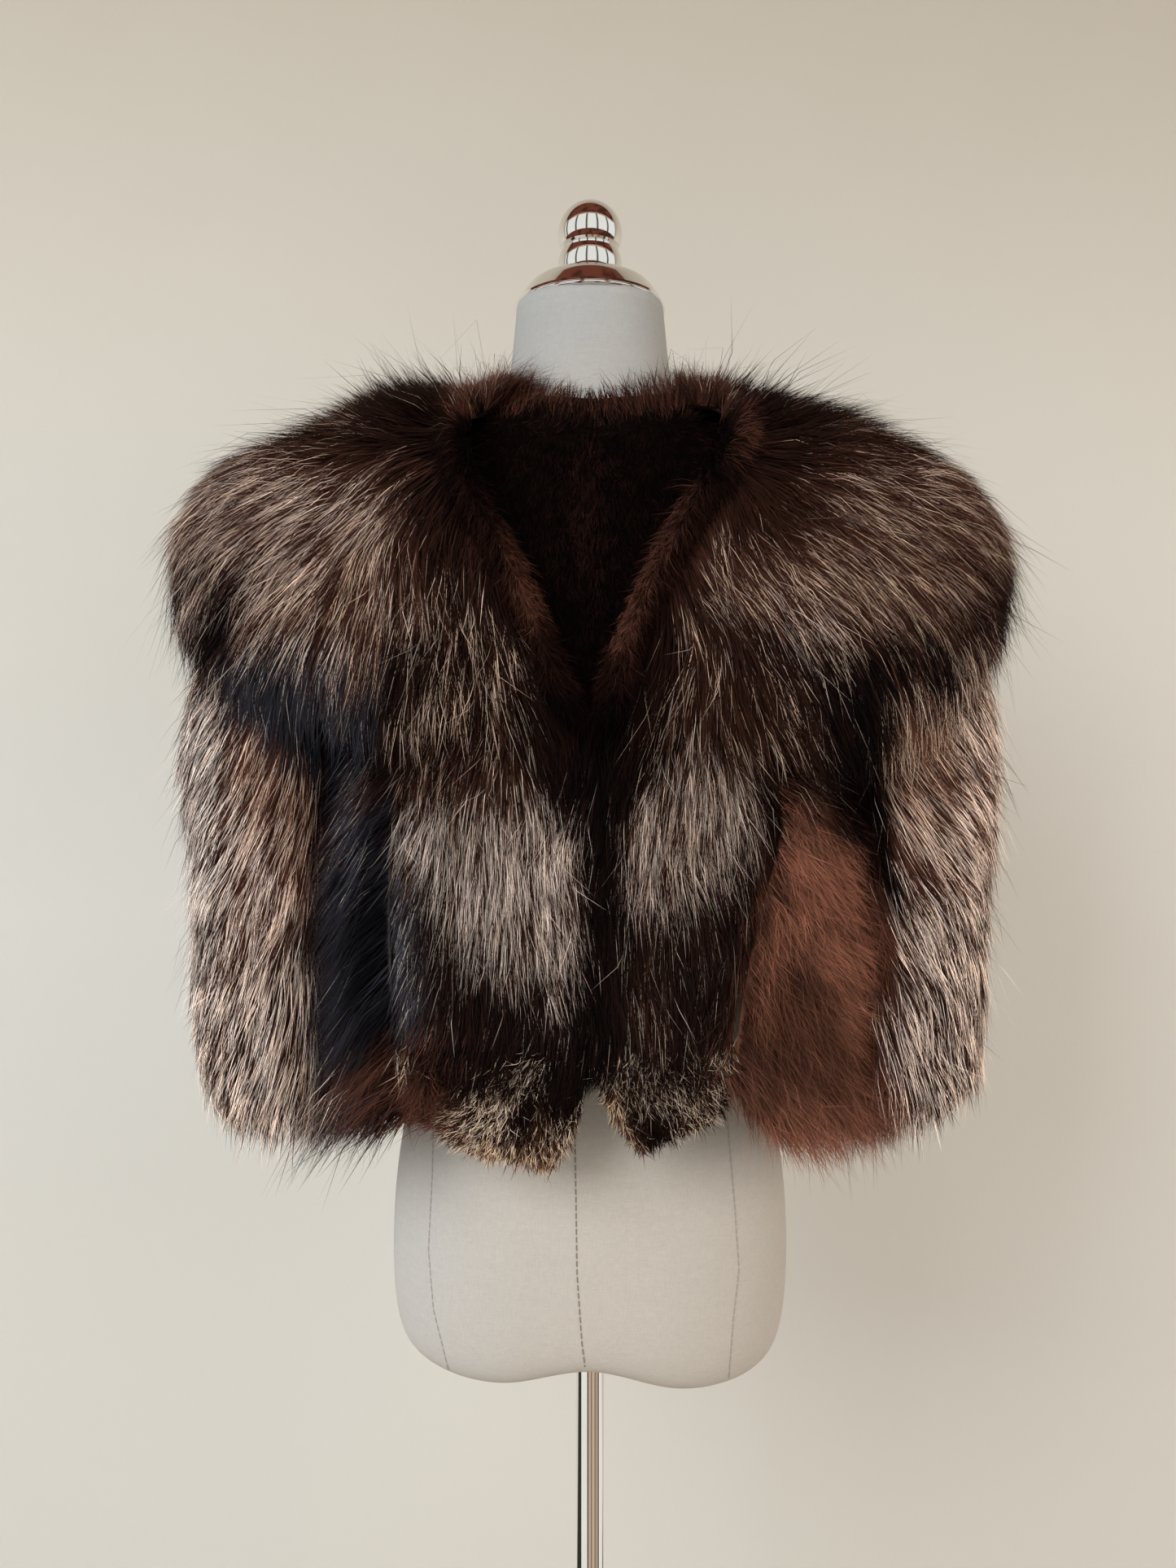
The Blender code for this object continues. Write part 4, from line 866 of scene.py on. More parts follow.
def toned(coat, lockPale, lockShade, deep, dark, rng):
    # each strand's own coat numbers, in steps, and its cell on the bake's map
    count, spread = len(coat), toneSpread
    paleWarm, paleShade, darkWarm, darkShade, cool, soft = coat.T[1:]
    pale = rng.normal(*spread["pale"], count) + spread["lockPale"] * lockPale * ~dark
    pale = np.where(deep, 0, np.where(dark, spread["darkPale"], pale))
    vary = 1 + spread["soft"] * soft
    warm = np.where(dark, darkWarm, paleWarm)
    warm = warm + (spread["lockWarm"] * lockShade + rng.normal(0, spread["warm"], count)) * vary
    differs = (spread["lockShade"] * lockShade + rng.normal(0, spread["shade"], count)) * vary
    shade = np.where(dark, darkShade, paleShade) * np.clip(1 + differs, *spread["shadeRange"])
    levels = {"pale": pale, "warm": warm, "cool": cool, "shade": np.sqrt(shade / shadeTop)}
    cell, stored = np.zeros(count, int), {}
    for key in ("cool", "warm", "shade", "pale"):
        steps = coatLevels[key] - 1
        index = np.rint(np.clip(levels[key], 0, 1) * steps).astype(int)
        cell = cell * coatLevels[key] + index
        stored[key] = index / steps
    stored["shade"] = np.maximum(stored["shade"] ** 2 * shadeTop, shadeLeast)
    return cell, stored


def strandLayer(verts, normals, flat, soften, cell, stored, alongs, sides, faces):
    # count strands of the same few vertices, as arrays for one mesh
    count, size = verts.shape[:2]
    flat = flat * np.sign((flat * normals).sum(1))[:, None]
    shown = unit(flat * (1 - soften)[:, None] + normals * soften[:, None])
    order = np.tile(np.concatenate(faces), (count, 1))
    turned = np.tile(np.concatenate([list(reversed(f)) for f in faces]), (count, 1))
    cross = np.cross(verts[:, 1] - verts[:, 0], verts[:, 2] - verts[:, 0])
    backwards = (cross * normals).sum(1) < 0
    order[backwards] = turned[backwards]
    columns, edge = cellMap["columns"], cellMap["edge"]
    rows = math.ceil(np.prod(list(coatLevels.values())) / columns)
    u = ((cell % columns)[:, None] + edge + (1 - 2 * edge) * np.array(alongs)) / columns
    v = ((cell // columns)[:, None] + 0.5 + cellMap["spread"] * np.array(sides)) / rows
    places = np.stack([np.take_along_axis(u, order, 1), np.take_along_axis(v, order, 1)], 2)
    return {
        "verts": verts.reshape(-1, 3),
        "normals": np.repeat(shown, size, 0),
        "loops": order + np.arange(count)[:, None] * size,
        "starts": np.cumsum([0] + [len(f) for f in faces])[:-1],
        "places": places.reshape(-1, 2),
        "along": np.tile(alongs, count),
        "stored": {key: np.repeat(values, size) for key, values in stored.items()},
    }


# what all the panels' hair has alike. A pair is where a change starts and where it is full, or the least
# and the greatest of a random share, or the size and the layer of a smooth noise.
growth = {
    "wander": (0.035, 0), "fineWander": (0.012, 3), "fineShare": 0.5,
    "grooveDepth": (-0.02, 0.03), "grooveWide": (0.15, 0.19), "grooveSide": 0.6, "grooveOut": 0.45,
    "grooveLength": 0.4, "grooveLift": 0.3, "grooveAhead": 0.7,
    "neckHigh": (1.355, 1.395), "neckInner": (-0.008, 0.035), "neckOuter": (0.16, 0.12),
    "neckPatch": (0.004, 1), "neckIn": 0.7, "neckAhead": 0.3,
    "lengthWave": (0.03, 5), "lengthWaves": 0.16, "lengths": (0.66, 1.14), "longer": 2.2,
    "spotAt": 0.75, "spotAlong": 0.007, "spotAside": 0.002, "blends": 4,
    "ruffle": (0.014, 2), "lifts": (0.4, 1.6), "softShort": 0.35, "softLift": 0.15, "softLoose": 0.10,
    "underLength": 0.55, "underWidth": 2.2, "darkWidth": 1.7, "widths": (0.7, 1.3), "turn": 0.9,
    "strayLift": (1.8, 0.12), "strayLength": (1.2, 0.8), "strayHigh": (1.33, 1.37), "strayLoose": 2.2,
    "strayClump": 0.15, "strayWidth": 0.6, "shoulder": (1.345, 1.375), "standing": 0.2,
    "rise": 0.9, "tuck": 0.4, "clumps": (0.5, 1.15), "softClump": 0.5, "middleClump": 0.45,
    "lockPale": 0.50, "softNormal": 0.2, "narrowing": 0.85,
}


def grooveShare(name, roots, normals, at=growth):
    # how far each root is in the groove beside a sleeve
    share = smoothStep(0.05, 0.5, facingIn(name, roots, normals))
    share = share * (1 - smoothStep(*at["grooveDepth"], roots[:, 1]))
    if name.startswith("side"):
        share = np.maximum(share, at["grooveSide"] * smoothStep(*at["grooveWide"], np.abs(roots[:, 0])))
    return share


def neckShare(roots, at=growth):
    wide = np.abs(roots[:, 0])
    beside = smoothStep(*at["neckHigh"], roots[:, 2]) * smoothStep(*at["neckInner"], wide)
    return beside * smoothStep(*at["neckOuter"], wide)


def growHair(name, mesh, panel, material, rng, at=growth):
    # guard hairs bend once and taper, and the underfur is short straight wedges
    count, less = panel["strands"], panel["underfur"]
    total = count + less
    roots, normals, hem = scatter(mesh, total, panel["weight"], rng)
    deep = np.arange(total) >= count
    combed = panel["flow"](roots)
    way = lyingOn(normals, combed)
    # slow changes of direction make the locks wander
    wander = drift(roots, *at["wander"]) + at["fineShare"] * drift(roots, *at["fineWander"])
    way = unit(way + np.cross(normals, way) * (panel["wander"] * wander)[:, None])
    # hair from both walls of the groove beside a sleeve comes forward, and the side's falls out across it
    groove = grooveShare(name, roots, normals)
    outwards = np.sign(roots[:, 0])
    if name.startswith("side"):
        way[:, 0] += outwards * at["grooveOut"] * groove
        way = unit(way)
    # beside the neck it stands up and leans in over the neck's foot, and a few hairs fall instead
    beside = neckShare(roots)
    rising = np.where(drift(roots, *at["neckPatch"]) > panel["neckFall"], -0.7, 1.0)
    up = np.stack([-at["neckIn"] * outwards * (rising > 0), np.full(total, -at["neckAhead"]), rising], 1)
    way = unit(way + up * (panel["neckRise"] * beside)[:, None])
    guides = rng.choice(count, max(count // panel["lock"], 8), replace=False)
    owner = nearest(roots, roots[guides])
    length = 1 + at["lengthWaves"] * drift(roots, *at["lengthWave"])
    length = panel["length"] * length * rng.uniform(*at["lengths"], total)
    length = length * (1 + panel["hemGrow"] * hem) * (1 + panel["neckGrow"] * beside)
    # the coats run into each other along the hair
    spot = roots + way * (at["spotAt"] * length)[:, None]
    spot += way * rng.normal(0, at["spotAlong"], total)[:, None]
    aside = rng.normal(0, at["spotAside"], (total, 3))
    spot += aside + rng.normal(0, at["spotAside"], (len(guides), 3))[owner]
    shifts = way[None] * (panel["blend"] * rng.normal(0, 1, (at["blends"], total)))[:, :, None]
    coat = np.mean([coatAt(spot + shift, panel["coat"], panel["zones"]) for shift in shifts], 0)
    paleShare, soft = coat[:, 0], coat[:, 6]
    length = length * np.where(roots[:, 0] < panel["longBelow"], at["longer"], 1)
    length = length * (1 - at["softShort"] * soft) * np.where(deep, at["underLength"], 1)
    length = length * (1 + panel["hemLength"] * hem * rng.uniform(-1, 1, total))
    length = length * (1 + at["grooveLength"] * groove)
    lift = panel["lift"] * rng.uniform(*at["lifts"], total) + panel["ruffle"] * drift(roots, *at["ruffle"])
    lift += at["softLift"] * soft + at["grooveLift"] * groove
    # strays are longer and stand out further
    stray = (rng.random(total) < panel["stray"]) & ~deep
    times, more = at["strayLift"]
    lift = np.where(stray, lift * times + more, lift)
    times, more = at["strayLength"]
    length = np.where(stray, length * (times + more * smoothStep(*at["strayHigh"], roots[:, 2])), length)
    # along the shoulders' top some stand up and out
    neck = panel["neckLift"] * smoothStep(*at["shoulder"], roots[:, 2])
    lift += neck * rng.uniform(0, 1, total) ** 3
    stands = neck > at["standing"]
    loose = (panel["loose"] + at["softLoose"] * soft) * np.where(stray, at["strayLoose"], 1)
    loose = rng.normal(0, 1, (total, 3)) * loose[:, None]
    # from the root to the middle, then from there to the tip
    rise = np.maximum(combed[:, 2], 0) * np.where(normals[:, 2] > -0.2, 1, 0)
    start = way + normals * lift[:, None] + loose
    start[:, 2] += at["rise"] * rise
    start[:, 1] -= at["grooveAhead"] * groove
    start = unit(start)
    tuck = lift * at["tuck"] + panel["tuck"] * (1 + hem) * np.where(stands, 0, 1)
    finish = start + loose - normals * tuck[:, None]
    finish[:, 2] -= panel["droop"] * np.where(stands, 0.2, 1)
    finish = unit(finish)
    middle = roots + start * (length * 0.5)[:, None]
    tip = middle + finish * (length * 0.5)[:, None]
    # each lock draws its strands to the tip of its guide
    pull = panel["clump"] * rng.uniform(*at["clumps"], total)
    pull = pull * np.where(stray, at["strayClump"], 1) * (1 - at["softClump"] * soft)
    tip += (tip[guides][owner] - tip) * pull[:, None]
    middle += (middle[guides][owner] - middle) * (pull * at["middleClump"])[:, None]
    # the rest of each coat has plain dark or brown hair
    lockPale, lockShade = rng.normal(0, 1, (2, len(guides)))[:, owner]
    banded = paleShare * (1 - panel["black"]) * (1 + at["lockPale"] * lockPale)
    dark = deep | (rng.random(total) > banded)
    middle, tip = trimmed(roots, middle, tip, panel, rng)
    middle, tip = np.clip(middle, hairLow, hairHigh), np.clip(tip, hairLow, hairHigh)
    cell, stored = toned(coat, lockPale, lockShade, deep, dark, rng)
    # how wide each strand is, and which way its flat side is turned
    width = panel["width"] * rng.uniform(*at["widths"], total) / 2
    width = width * np.where(dark & (soft < 0.5), at["darkWidth"], 1)
    width = width * np.where(deep, at["underWidth"], 1) * np.where(stray, at["strayWidth"], 1)
    roll = rng.uniform(-at["turn"], at["turn"], total)
    across = unit(np.cross(start, normals))
    broad = across * np.cos(roll)[:, None] + np.cross(across, start) * np.sin(roll)[:, None]
    flat = unit(np.cross(start, broad))
    half = broad * width[:, None]
    soften = np.clip(panel["soften"] + at["softNormal"] * soft, 0, 0.95)
    near, far = middle + half * at["narrowing"], middle - half * at["narrowing"]
    guard = [roots - half, roots + half, near, far, tip]
    wedge = [roots - half, roots + half, tip]
    layers = []
    for rows, verts, *places in (
        (slice(0, count), guard, [0, 0, 0.5, 0.5, 1], [-1, 1, 1, -1, 0], [[0, 1, 2, 3], [3, 2, 4]]),
        (slice(count, total), wedge, [0, 0, 1], [-1, 1, 0], [[0, 1, 2]]),
    ):
        picked = np.stack([v[rows] for v in verts], 1)
        some = {key: values[rows] for key, values in stored.items()}
        own = (picked, normals[rows], flat[rows], soften[rows], cell[rows], some)
        layers.append(strandLayer(*own, *places))
    return strandMesh(name, layers, material)


def strandMesh(name, layers, material):
    made = bpy.data.meshes.new(name)
    loops, starts, vertsSoFar, loopsSoFar = [], [], 0, 0
    for layer in layers:
        count, width = layer["loops"].shape
        loops.append(layer["loops"].ravel() + vertsSoFar)
        starts.append((np.arange(count)[:, None] * width + layer["starts"]).ravel() + loopsSoFar)
        vertsSoFar += len(layer["verts"])
        loopsSoFar += count * width
    loops, starts = np.concatenate(loops), np.concatenate(starts)
    made.vertices.add(vertsSoFar)
    made.vertices.foreach_set("co", np.concatenate([x["verts"] for x in layers]).astype(np.float32).ravel())
    made.loops.add(loopsSoFar)
    made.loops.foreach_set("vertex_index", loops.astype(np.int32))
    made.polygons.add(len(starts))
    made.polygons.foreach_set("loop_start", starts.astype(np.int32))
    made.update(calc_edges=True)
    made.polygons.foreach_set("use_smooth", np.ones(len(starts), bool))
    storeFloats(made, "along", np.concatenate([x["along"] for x in layers]))
    for key in coatLevels:
        storeFloats(made, key, np.concatenate([x["stored"][key] for x in layers]))
    # the bake's map has a cell for each mix of coat numbers, long ways along the hair
    places = np.concatenate([x["places"] for x in layers])
    made.uv_layers.new(name="OFBake").uv.foreach_set("vector", places.astype(np.float32).ravel())
    made.materials.append(material)
    made.normals_split_custom_set_from_vertices(np.concatenate([x["normals"] for x in layers]))
    return newObject(name, made)


# hair and hide materials

hairTones = {
    "black": (0.0085, 0.0062, 0.0060),
    "brown": (0.090, 0.034, 0.021),
    "blue": (0.0165, 0.0158, 0.0195),
    "silver": (0.80, 0.70, 0.63),
    "fawn": (0.72, 0.49, 0.35),
    "band": (0.30, 0.52),
    "tipFrom": 0.90,
    "rough": 0.50,
    "paleGloss": 0.12,
    "gloss": 0.05,
}
woolTones = {**hairTones, "brown": (0.155, 0.062, 0.038), "rough": 0.62}
plushTones = {**hairTones, "rough": 0.60}
brindleTones = {
    **hairTones, "black": (0.010, 0.0065, 0.005), "fawn": (0.70, 0.48, 0.28), "band": (0.30, 0.55),
    "tipFrom": 0.97,
}


def spread(pair, noise):
    least, more = pair
    return least + more * noise


def darkHair(paint, tones, warm, cool):
    dark = paint.mix(warm, tones["black"], tones["brown"])
    return paint.mix(cool, dark, tones["blue"])


def hairMaterial(name, tones):
    # dark at the root, with a pale band short of the tip
    paint = Paint(name, Specular_IOR_Level=tones["gloss"])
    along, pale, warm, cool, shade = paint.attributes("along", "pale", "warm", "cool", "shade")
    dark = darkHair(paint, tones, warm, cool)
    band = paint.mix(warm, tones["silver"], tones["fawn"])
    low, high = tones["band"]
    rise = ((along - low) / (high - low)).clamped()
    fall = ((1.0 - along) / (1 - tones["tipFrom"])).clamped()
    colour = paint.shaded(paint.mix(rise * fall * pale, dark, band), shade)
    rough = tones["rough"] + tones["paleGloss"] * (1.0 - pale)
    return paint.feed(Base_Color=colour, Roughness=rough)


# a pair is the least and what the noise adds, or a relief's strength and height
hideLook = {
    "fibre": 900, "matting": 60, "stretch": 0.18, "pale": 0.30, "fibreDepth": (0.35, 0.5),
    "mattDepth": (0.7, 0.5), "rough": (0.75, 0.2), "relief": (0.6, 0.002),
}


def hideMaterial(name, tones):
    # the dense underfur against the hide, between the strands; its dark colour is partly the underfur's own
    # and partly painted shade deep among the strands
    paint = Paint(name, Specular_IOR_Level=tones["gloss"])
    pale, warm, cool, shade = paint.attributes("pale", "warm", "cool", "shade")
    fibre = paint.noise(paint.objectPlace((1, 1, hideLook["stretch"])), hideLook["fibre"], 3, 0.6)
    matted = paint.noise(paint.objectPlace(), hideLook["matting"], 2)
    colour = paint.mix(pale * fibre * hideLook["pale"], darkHair(paint, tones, warm, cool), tones["fawn"])
    # the coat's dark hair, dimmed to about half: partly the underfur's own tone, partly painted shade between
    # the strands
    depth = shade * spread(hideLook["fibreDepth"], fibre) * spread(hideLook["mattDepth"], matted)
    colour, rough = paint.shaded(colour, depth), spread(hideLook["rough"], fibre)
    return paint.feed(Base_Color=colour, Roughness=rough, Normal=paint.bump(fibre, *hideLook["relief"]))


satinLook = {
    "dark": (0.030, 0.017, 0.013), "pale": (0.055, 0.032, 0.025), "weave": 700, "puckers": 22,
    "rough": (0.30, 0.12), "relief": (0.35, 0.006),
}


def liningMaterial():
    # dark brown satin inside the garment
    paint = Paint("satinLining")
    weave = paint.noise(paint.objectPlace((1, 1, 6)), satinLook["weave"], 2)
    puckers = paint.noise(paint.objectPlace((1, 1, 0.3)), satinLook["puckers"], 3)
    colour = paint.mix(weave, satinLook["dark"], satinLook["pale"])
    rough, bump = spread(satinLook["rough"], weave), paint.bump(puckers, *satinLook["relief"])
    return paint.feed(Base_Color=colour, Roughness=rough, Normal=bump)


materials = {}  # for each kind, the strands' and the hide's
kindTones = {"guard": hairTones, "wool": woolTones, "plush": plushTones, "brindle": brindleTones}
for kind, tones in kindTones.items():
    materials[kind] = (hairMaterial(kind + "Hair", tones), hideMaterial(kind + "Underfur", tones))
lining = liningMaterial()


# the panels, and how the hair of each grows


# strands are fewer where a neighbour covers them, or the form hides them; a pair is as above, and three
# numbers are a share and the heights it comes in between
weights = {
    "ahead": (-0.4, 0.3), "hidden": 0.35,
    "armOut": (-0.7, 0.1), "armAhead": (-0.1, 0.3), "armFront": 1.3, "armHidden": 0.18, "armSide": 0.55,
    "armTurn": (-0.2, 0.4), "armCovered": (0.75, 1.20, 1.26),
    "covered": (0.8, 1.19, 1.25), "rollEnds": (3, 1.36, 1.39),
}


def evenWeight(places, facing):
    return np.ones(len(places))


def frontWeight(places, facing):
    least = weights["hidden"]
    return least + (1 - least) * smoothStep(*weights["ahead"], -facing[:, 1])


def sleeveWeight(places, facing):
    outward, ahead = facing[:, 0] * np.sign(places[:, 0]), -facing[:, 1]
    shown = weights["armFront"] * smoothStep(*weights["armAhead"], ahead)
    shown = np.maximum(smoothStep(*weights["armOut"], outward), shown)
    least, side = weights["armHidden"], weights["armSide"]
    turned = side + (1 - side) * smoothStep(*weights["armTurn"], ahead)
    share, low, high = weights["armCovered"]
    return (least + (1 - least) * shown * turned) * (1 - share * smoothStep(low, high, places[:, 2]))


def coveredWeight(places, facing):
    # the cape lies over the top of these
    share, low, high = weights["covered"]
    return 1 - share * smoothStep(low, high, places[:, 2])


def rollWeight(places, facing):
    # thicker at the neck, where it covers the rolls' ends
    more, low, high = weights["rollEnds"]
    return 1 + more * smoothStep(low, high, places[:, 2])


commonHair = {
    "fineness": 2,
    "strands": 20000,
    "underfur": 14000,
    "length": 0.045,
    "width": 0.00040,
    "sink": 0.009,
    "hemPull": 0.026,
    "cornerPull": 0.0,
    "hemSink": 0.0,
    "topSink": 0.0,
    "hemLength": 0.25,
    "hemGrow": 0.0,
    "neckGrow": 0.0,
    "lift": 0.20,
    "ruffle": 0.12,
    "tuck": 0.05,
    "neckLift": 0.0,
    "droop": 0.20,
    "wander": 0.25,
    "loose": 0.07,
    "stray": 0.06,
    "wisp": 0.022,
    "headPush": 0.0,
    "blend": 0.011,
    "neckRise": 0.0,
    "neckFall": 9,
    "longBelow": -9,
    "bulge": 0.0,
    "margin": 0.012,
    "black": 0.32,
    "lock": 6,
    "clump": 0.40,
    "soften": 0.55,
    "weight": evenWeight,
    "flow": combFlow,
    "coat": "silver",
    "zones": frontZones,
    "kind": "guard",
    "slot": "silver_fur",
    "held": "draped",
}
# flat is the cut's width and length, and area its flat area, in metres
capeHair = {
    "strands": 27000, "underfur": 18000, "length": 0.052, "sink": 0.011, "topSink": 0.012, "hemSink": 0.008,
    "hemPull": 0.012, "hemGrow": 0.15, "lift": 0.12, "tuck": 0.15, "droop": 0.16, "stray": 0.09,
    "wisp": 0.050, "neckRise": 0.8, "neckLift": 1.5, "weight": frontWeight,
}
sleeveHair = {
    "fineness": 1, "strands": 24000, "underfur": 13000, "length": 0.042, "sink": 0.005, "lift": 0.24,
    "hemPull": 0.022, "hemGrow": 0.50, "cornerPull": 0.014, "margin": 0.022, "wisp": 0.034, "clump": 0.34,
    "stray": 0.045, "coat": "taupe", "weight": sleeveWeight, "flat": (0.52, 0.50), "area": 0.219,
}
frontHair = {
    "strands": 17000, "underfur": 9000, "length": 0.045, "coat": "dark", "weight": coveredWeight,
    "hemPull": 0, "headPush": 0.014, "lift": 0.22, "clump": 0.28, "lock": 5,
}
snoutHair = {
    "underfur": 4000, "length": 0.014, "width": 0.00042, "blend": 0.002, "sink": 0.004, "hemPull": 0.0,
    "margin": 0.005, "hemLength": 0.5, "clump": 0.18, "lock": 5, "black": 0.30, "lift": 0.50, "loose": 0.26,
    "wander": 0.6, "coat": "brindle", "kind": "brindle", "zones": snoutZones, "slot": "brindled_fur",
}
rollHair = {
    "strands": 9000, "underfur": 5000, "length": 0.011, "sink": 0.004, "hemPull": 0, "hemGrow": 1.6,
    "neckGrow": 2.6, "neckRise": 1.2, "neckFall": 0.1, "blend": 0.004, "clump": 0.25, "lift": 0.42,
    "loose": 0.18, "soften": 0.7, "black": 0.3, "stray": 0.02, "coat": "plush", "kind": "plush",
    "zones": rollZones, "weight": rollWeight, "slot": "brown_wool_fur",
}
yokeHair = {
    "strands": 9000, "underfur": 6000, "length": 0.016, "sink": 0.004, "margin": 0.004, "hemPull": 0,
    "neckGrow": 1.7, "neckRise": 0.8, "clump": 0.35, "lift": 0.5, "loose": 0.18, "black": 1.0,
    "coat": "black", "kind": "plush", "zones": yokeZones, "weight": frontWeight, "slot": "dark_fur",
}
panels = {
    "cape_left": {**capeHair, "flat": (0.30, 0.30), "area": 0.070},
    "cape_right": {**capeHair, "flat": (0.31, 0.30), "area": 0.073},
    "cape_back": {
        **capeHair, "fineness": 1, "strands": 16000, "underfur": 9000, "flow": backCapeFlow,
        "weight": evenWeight, "flat": (0.80, 0.30), "area": 0.187,
    },
    "sleeve_left": sleeveHair,
    "sleeve_right": sleeveHair,
    "front_left": {**frontHair, "flat": (0.128, 0.245), "area": 0.031},
    "front_right": {**frontHair, "flat": (0.115, 0.235), "area": 0.0245},
    "back": {
        "fineness": 1, "strands": 12000, "underfur": 6000, "flow": downFlow, "weight": coveredWeight,
        "flat": (0.50, 0.56), "area": 0.233,
    },
    "side_left": {
        "strands": 12000, "underfur": 8000, "sink": 0.004, "lift": 0.3, "hemPull": 0.020, "hemGrow": 0.8,
        "bulge": 0.010, "margin": 0.030, "wisp": 0.045, "coat": "blue", "slot": "blue_black_fur",
        "weight": frontWeight, "flat": (0.115, 0.31), "area": 0.0354,
    },
    "side_right": {
        "strands": 17000, "underfur": 9000, "length": 0.040, "width": 0.00044, "sink": 0.004, "lift": 0.35,
        "hemPull": 0.022, "hemGrow": 0.7, "bulge": 0.032, "margin": 0.034, "wander": 0.45, "wisp": 0.045,
        "clump": 0.22, "lock": 40, "coat": "wool", "kind": "wool", "slot": "brown_wool_fur",
        "weight": frontWeight, "flat": (0.15, 0.31), "area": 0.0433,
    },
    "snout_left": {
        **snoutHair, "strands": 12000, "longBelow": -0.105, "flat": (0.115, 0.085), "area": 0.009,
    },
    "snout_right": {
        **snoutHair, "strands": 10000, "coat": "brindleDim", "flat": (0.08, 0.068), "area": 0.0047,
    },
    "roll_left": {**rollHair, "flat": (0.033, 0.27), "area": 0.0078},
    "roll_right": {**rollHair, "flat": (0.033, 0.27), "area": 0.008},
    "yoke_left": {**yokeHair, "flat": (0.20, 0.30), "area": 0.049},
    "yoke_right": {**yokeHair, "flat": (0.20, 0.30), "area": 0.046},
}


def makePelt(name, mesh, panel, thickness=0.002):
    # a thin hide with a satin lining inside
    found = coatAt(vertexPlaces(mesh)[0], panel["coat"], panel["zones"])
    for key, column in (("pale", 0), ("warm", 3), ("cool", 5), ("shade", 4)):
        storeFloats(mesh, key, found[:, column])
    mesh.materials.clear()
    mesh.materials.append(materials[panel["kind"]][1])
    mesh.materials.append(lining)
    mesh.polygons.foreach_set("material_index", np.zeros(len(mesh.polygons), np.int32))
    mesh.polygons.foreach_set("use_smooth", np.ones(len(mesh.polygons), bool))
    pelt = newObject(name + "_pelt", mesh)
    pelt.data = evaluated(pelt, "SOLIDIFY", thickness=thickness, offset=-1, material_offset=1)
    return pelt


triangles = 0
for index, (name, own) in enumerate(panels.items()):
    panel = {**commonHair, **own}
    rng = np.random.default_rng(100 + index)
    skin = makeSkin(name, panel)
    fur = growHair(name + "_fur", skin, panel, materials[panel["kind"]][0], rng)
    pelt = makePelt(name, skin, panel)
    for piece in (pelt, fur):
        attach(piece, "root")
    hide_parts(name)
    triangles += panel["strands"] * 3 + panel["underfur"]
    print("panel", name)
print("strand triangles:", triangles)


# the dress form

# painted light and shade: the form is painted cooler and brighter towards its left, as if a cool lamp lit that
# side, and darker and cooler up its neck, where shade falls
formLook = {
    "pale": (0.638, 0.572, 0.498), "shadow": (0.542, 0.486, 0.423),
    "neck": (0.74, 0.79, 0.85), "neckFrom": 1.30, "neckOver": 0.15,
    "left": (1.08, 1.13, 1.20), "leftFrom": -0.05, "leftOver": 0.10,
    "weave": 1500, "slubs": 220, "clouds": 7, "stretch": 0.12, "contrast": (2.6, 0.4, 0.6),
    "rough": (0.80, 0.12), "relief": (0.25, 0.0006), "fineness": 2,
}


def linenMaterial():
    paint, look = Paint("paleLinen"), formLook
    thin = look["stretch"]
    weft = paint.noise(paint.objectPlace((1, 1, thin)), look["weave"], 2)
    warp = paint.noise(paint.objectPlace((thin, thin, 1)), look["weave"], 2)
    slubs = paint.noise(paint.objectPlace((0.15, 0.15, 1)), look["slubs"], 3)
    clouds = paint.noise(paint.objectPlace(), look["clouds"], 3)
    weave = 0.5 * weft + 0.5 * warp
    weaves, slubby, cloudy = look["contrast"]
    share = (weave - 0.5) * weaves + (slubs - 0.5) * slubby + (clouds - 0.5) * cloudy + 0.55
    colour = paint.mix(share.clamped(), look["shadow"], look["pale"])
    climb, across = (paint.axis(paint.objectPlace(), axis) for axis in "ZX")
    # painted shade: darker and cooler up the neck
    neck = ((climb - look["neckFrom"]) / look["neckOver"]).clamped()
    colour = paint.mix(neck, colour, look["neck"], "MULTIPLY")
    # painted light: cooler and brighter towards the left
    left = ((look["leftFrom"] - across) / look["leftOver"]).clamped()
    colour = paint.mix(left, colour, look["left"], "MULTIPLY")
    rough, bump = spread(look["rough"], weave), paint.bump(weave, *look["relief"])
    return paint.feed(Base_Color=colour, Roughness=rough, Normal=bump)


def roundedForm(name, newName):
    shape = weldedShape(name, 1.2)
    for face in shape.faces:
        face.smooth = True
    # its top stays flat under the neck cap
    crease = shape.edges.layers.float.get("crease_edge") or shape.edges.layers.float.new("crease_edge")
    top = max(v.co.z for v in shape.verts)
    for edge in shape.edges:
        if min(v.co.z for v in edge.verts) > top - 0.0005:
            edge[crease] = 1.0
    made = newObject(newName, asMesh(newName, shape))
    made.data = evaluated(made, "SUBSURF", levels=formLook["fineness"])
    return made


form = roundedForm("torso", "form")
form.data.materials.clear()
form.data.materials.append(linenMaterial())
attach(form, "root")
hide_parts("torso")
print("form done")

